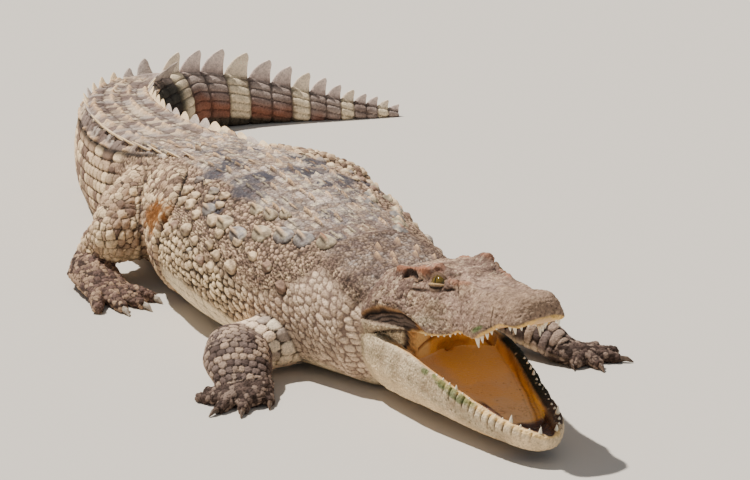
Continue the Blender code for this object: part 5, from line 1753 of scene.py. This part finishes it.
def horn_material(name, root, tip, rough):
    """Streaks between a root's colour and a tip's."""
    made, tree, shader = new_material(name)
    link = tree.links.new
    place = node(tree, "ShaderNodeTexCoord")
    streak = node(tree, "ShaderNodeTexNoise", Scale=120.0, Detail=3.0)
    link(place.outputs["Object"], streak.inputs["Vector"])
    shades = node(tree, "ShaderNodeValToRGB")
    for stop, position, colour in zip(shades.color_ramp.elements, (0.35, 0.68), (root, tip)):
        stop.position = position
        stop.color = (*colour, 1.0)
    link(streak.outputs["Fac"], shades.inputs["Fac"])
    link(shades.outputs["Color"], shader.inputs["Base Color"])
    shader.inputs["Roughness"].default_value = rough
    return made


# ---------------------------------------------------------------- the whole
def grow_skin(body, upper, lower, lip, rim, material):
    """The skin: its mesh, its relief and its colours."""
    mesh = skin_mesh(body, upper, lower, lip, rim)
    own = into(upper, mesh_arrays(mesh)[0])
    refine(mesh, (own[:, 0] > -0.01) & (np.abs(own[:, 1]) < 0.15))
    skin = Surface(mesh)
    labels = skin.labels()

    # the head passes into the neck along a ragged line
    trunk, skull, jaw = (skin.soften(is_part(labels, *names).astype(float), 10)
                         for names in (BODY, ("head",), ("lower_jaw",)))
    joined = 4.0 * trunk * (skull + jaw)
    edge = (trunk > 0.04) & (skull + jaw > 0.04) & ~is_part(labels, *MOUTH)
    inside = trunk + 0.40 * noise(skin.points, 0.022, 66) > 0.5
    labels = np.where(edge & inside, LABEL["neck"], labels)
    labels = np.where(edge & ~inside, np.where(skull > jaw, LABEL["head"], LABEL["lower_jaw"]), labels)

    # how freely each part is smoothed
    weight = np.full(len(labels), 0.10)
    for names, freedom in ((ARMS[::3] + LEGS[::3], 0.5), (ARMS[1::3] + LEGS[1::3], 0.4),
                           (ARMS[2::3] + LEGS[2::3], 0.07), (("head", "lower_jaw"), 0.30), (MOUTH, 0.5)):
        weight[is_part(labels, *names)] = freedom
    weight = skin.soften(weight, 12)
    skin.relax(weight, 60)
    for side in (-1, 1):
        eye = np.array(upper @ Vector((EYE_AT.x, side * EYE_AT.y, EYE_AT.z)))
        off = skin.points - eye
        far = np.linalg.norm(off, axis=1)
        close = far < EYE_RADIUS + 0.001
        skin.points[close] += (unit(off) * (EYE_RADIUS + 0.001 - far)[:, None])[close]

    normal = skin.normals()
    s, u = body.locate(skin.points)
    near = skin.soften(is_part(labels, *BODY).astype(float), 2)
    height, colour = paint_trunk(s, u, skin.points, near)

    paint_limbs(skin.points, normal, labels, height, colour)
    trunk = skin.soften(is_part(labels, *BODY).astype(float), 16)
    limbs = skin.soften(is_part(labels, *LEGS, *ARMS).astype(float), 16)
    # painted shade in the creases where the limbs meet the body
    colour = mix(colour, UMBER, 0.55 * np.clip(4.0 * trunk * limbs, 0.0, 1.0) ** 2)

    wet = np.zeros(len(labels))
    for part, matrix, paint, edge in (("head", upper, paint_upper, lip), ("lower_jaw", lower, paint_jaw, rim),
                                      ("tongue", lower, paint_tongue, rim),
                                      ("mouth_lining", lower, paint_lining, rim)):
        mine = is_part(labels, part)
        own, way = into(matrix, skin.points)[mine], turned(matrix, normal)[mine]
        height[mine], colour[mine], wet[mine] = paint(own, way, edge)

    joined = np.clip(joined, 0.0, 1.0) * 0.6
    colour = mix(colour, skin.soften(colour, 5), joined)
    height = replaced(height, skin.soften(height, 4), joined)
    skin.points += normal * height[:, None]
    skin.points[:, 2] = np.maximum(skin.points[:, 2], 0.0004)
    skin.store()
    paint_points(mesh, "hide", colour)
    paint_points(mesh, "wet", np.repeat(wet[:, None], 3, 1))
    obj = linked("skin", mesh)
    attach(obj, "root")
    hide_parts(*FLESH)
    mesh.materials.clear()
    mesh.materials.append(material)


def stage():
    """The floor, the lights and the view."""
    scene = bpy.context.scene
    floor = new_object("floor", [(-9, -9, 0), (9, -9, 0), (9, 9, 0), (-9, 9, 0)], [(0, 1, 2, 3)])
    made, _, shader = new_material("floor_pale")
    shader.inputs["Base Color"].default_value = (0.60, 0.56, 0.50, 1)
    shader.inputs["Roughness"].default_value = 0.9
    floor.data.materials.append(made)
    scene.world = bpy.data.worlds.new("studio")
    scene.world.use_nodes = True
    sky = scene.world.node_tree.nodes["Background"]
    sky.inputs["Color"].default_value = (0.90, 0.94, 1.0, 1)
    sky.inputs["Strength"].default_value = 0.37
    facing = Matrix.Rotation(CAMERA_TURN, 3, "Z")
    key = bpy.data.lights.new("key", "SUN")
    key.energy = 6.6
    key.angle = math.radians(1.5)
    key.color = (1.0, 0.95, 0.88)
    away = facing @ Vector((0.62, -0.35, 0.0))
    linked("key", key).rotation_euler = Vector((away.x, away.y, -1.45)).to_track_quat("-Z", "Y").to_euler()
    way = facing @ Vector((0.0, math.cos(CAMERA_DROP), -math.sin(CAMERA_DROP)))
    camera = bpy.data.cameras.new("view")
    camera.lens = CAMERA_LENS
    camera.sensor_width = 36.0
    eye = linked("view", camera)
    eye.location = CAMERA_AIM - way * CAMERA_FAR
    eye.rotation_euler = way.to_track_quat("-Z", "Y").to_euler()
    scene.camera = eye


def main():
    body = Body()
    joint = jaw_joint()
    upper, lower = head_frame(joint, HEAD_PITCH), head_frame(joint, JAW_PITCH)
    lip, rim = Edge("head", upper, -1), Edge("lower_jaw", lower, 1)
    hide = hide_material("hide_skin", grain=0.32, rough=0.80, wet=True)
    scale = hide_material("hide_scutes", grain=0.42, rough=0.85, bump=0.8, deep=0.0034)
    smooth = hide_material("hide_bumps", grain=0.26, rough=0.75, bump=0.5, deep=0.0014)
    ivory = hide_material("tooth_ivory", grain=0.10, rough=0.30, bump=0.08, gloss=0.45)
    ball = hide_material("eye_ball", grain=0.12, rough=0.06, bump=0.0, gloss=0.5)
    grow_skin(body, upper, lower, lip, rim, hide)
    back_armour(body).build("back_plates", scale)
    shoulder_armour(body).build("round_scutes", smooth)
    nape_spikes(body).build("nape_spikes", smooth)
    crest_fins(body).build("tail_crest", smooth)
    cone_row("upper_teeth", UPPER_TEETH, upper, lip, -1, 0.10, ivory)
    cone_row("lower_teeth", LOWER_TEETH, lower, rim, 1, 0.14, ivory)
    for side in (-1, 1):
        eyeball(upper, side, ball)
    eyelids(upper, smooth)
    claws(horn_material("claw_dark", (0.060, 0.036, 0.024), (0.150, 0.100, 0.070), 0.38),
          horn_material("claw_light", (0.230, 0.180, 0.140), (0.420, 0.360, 0.290), 0.42))
    stage()


main()
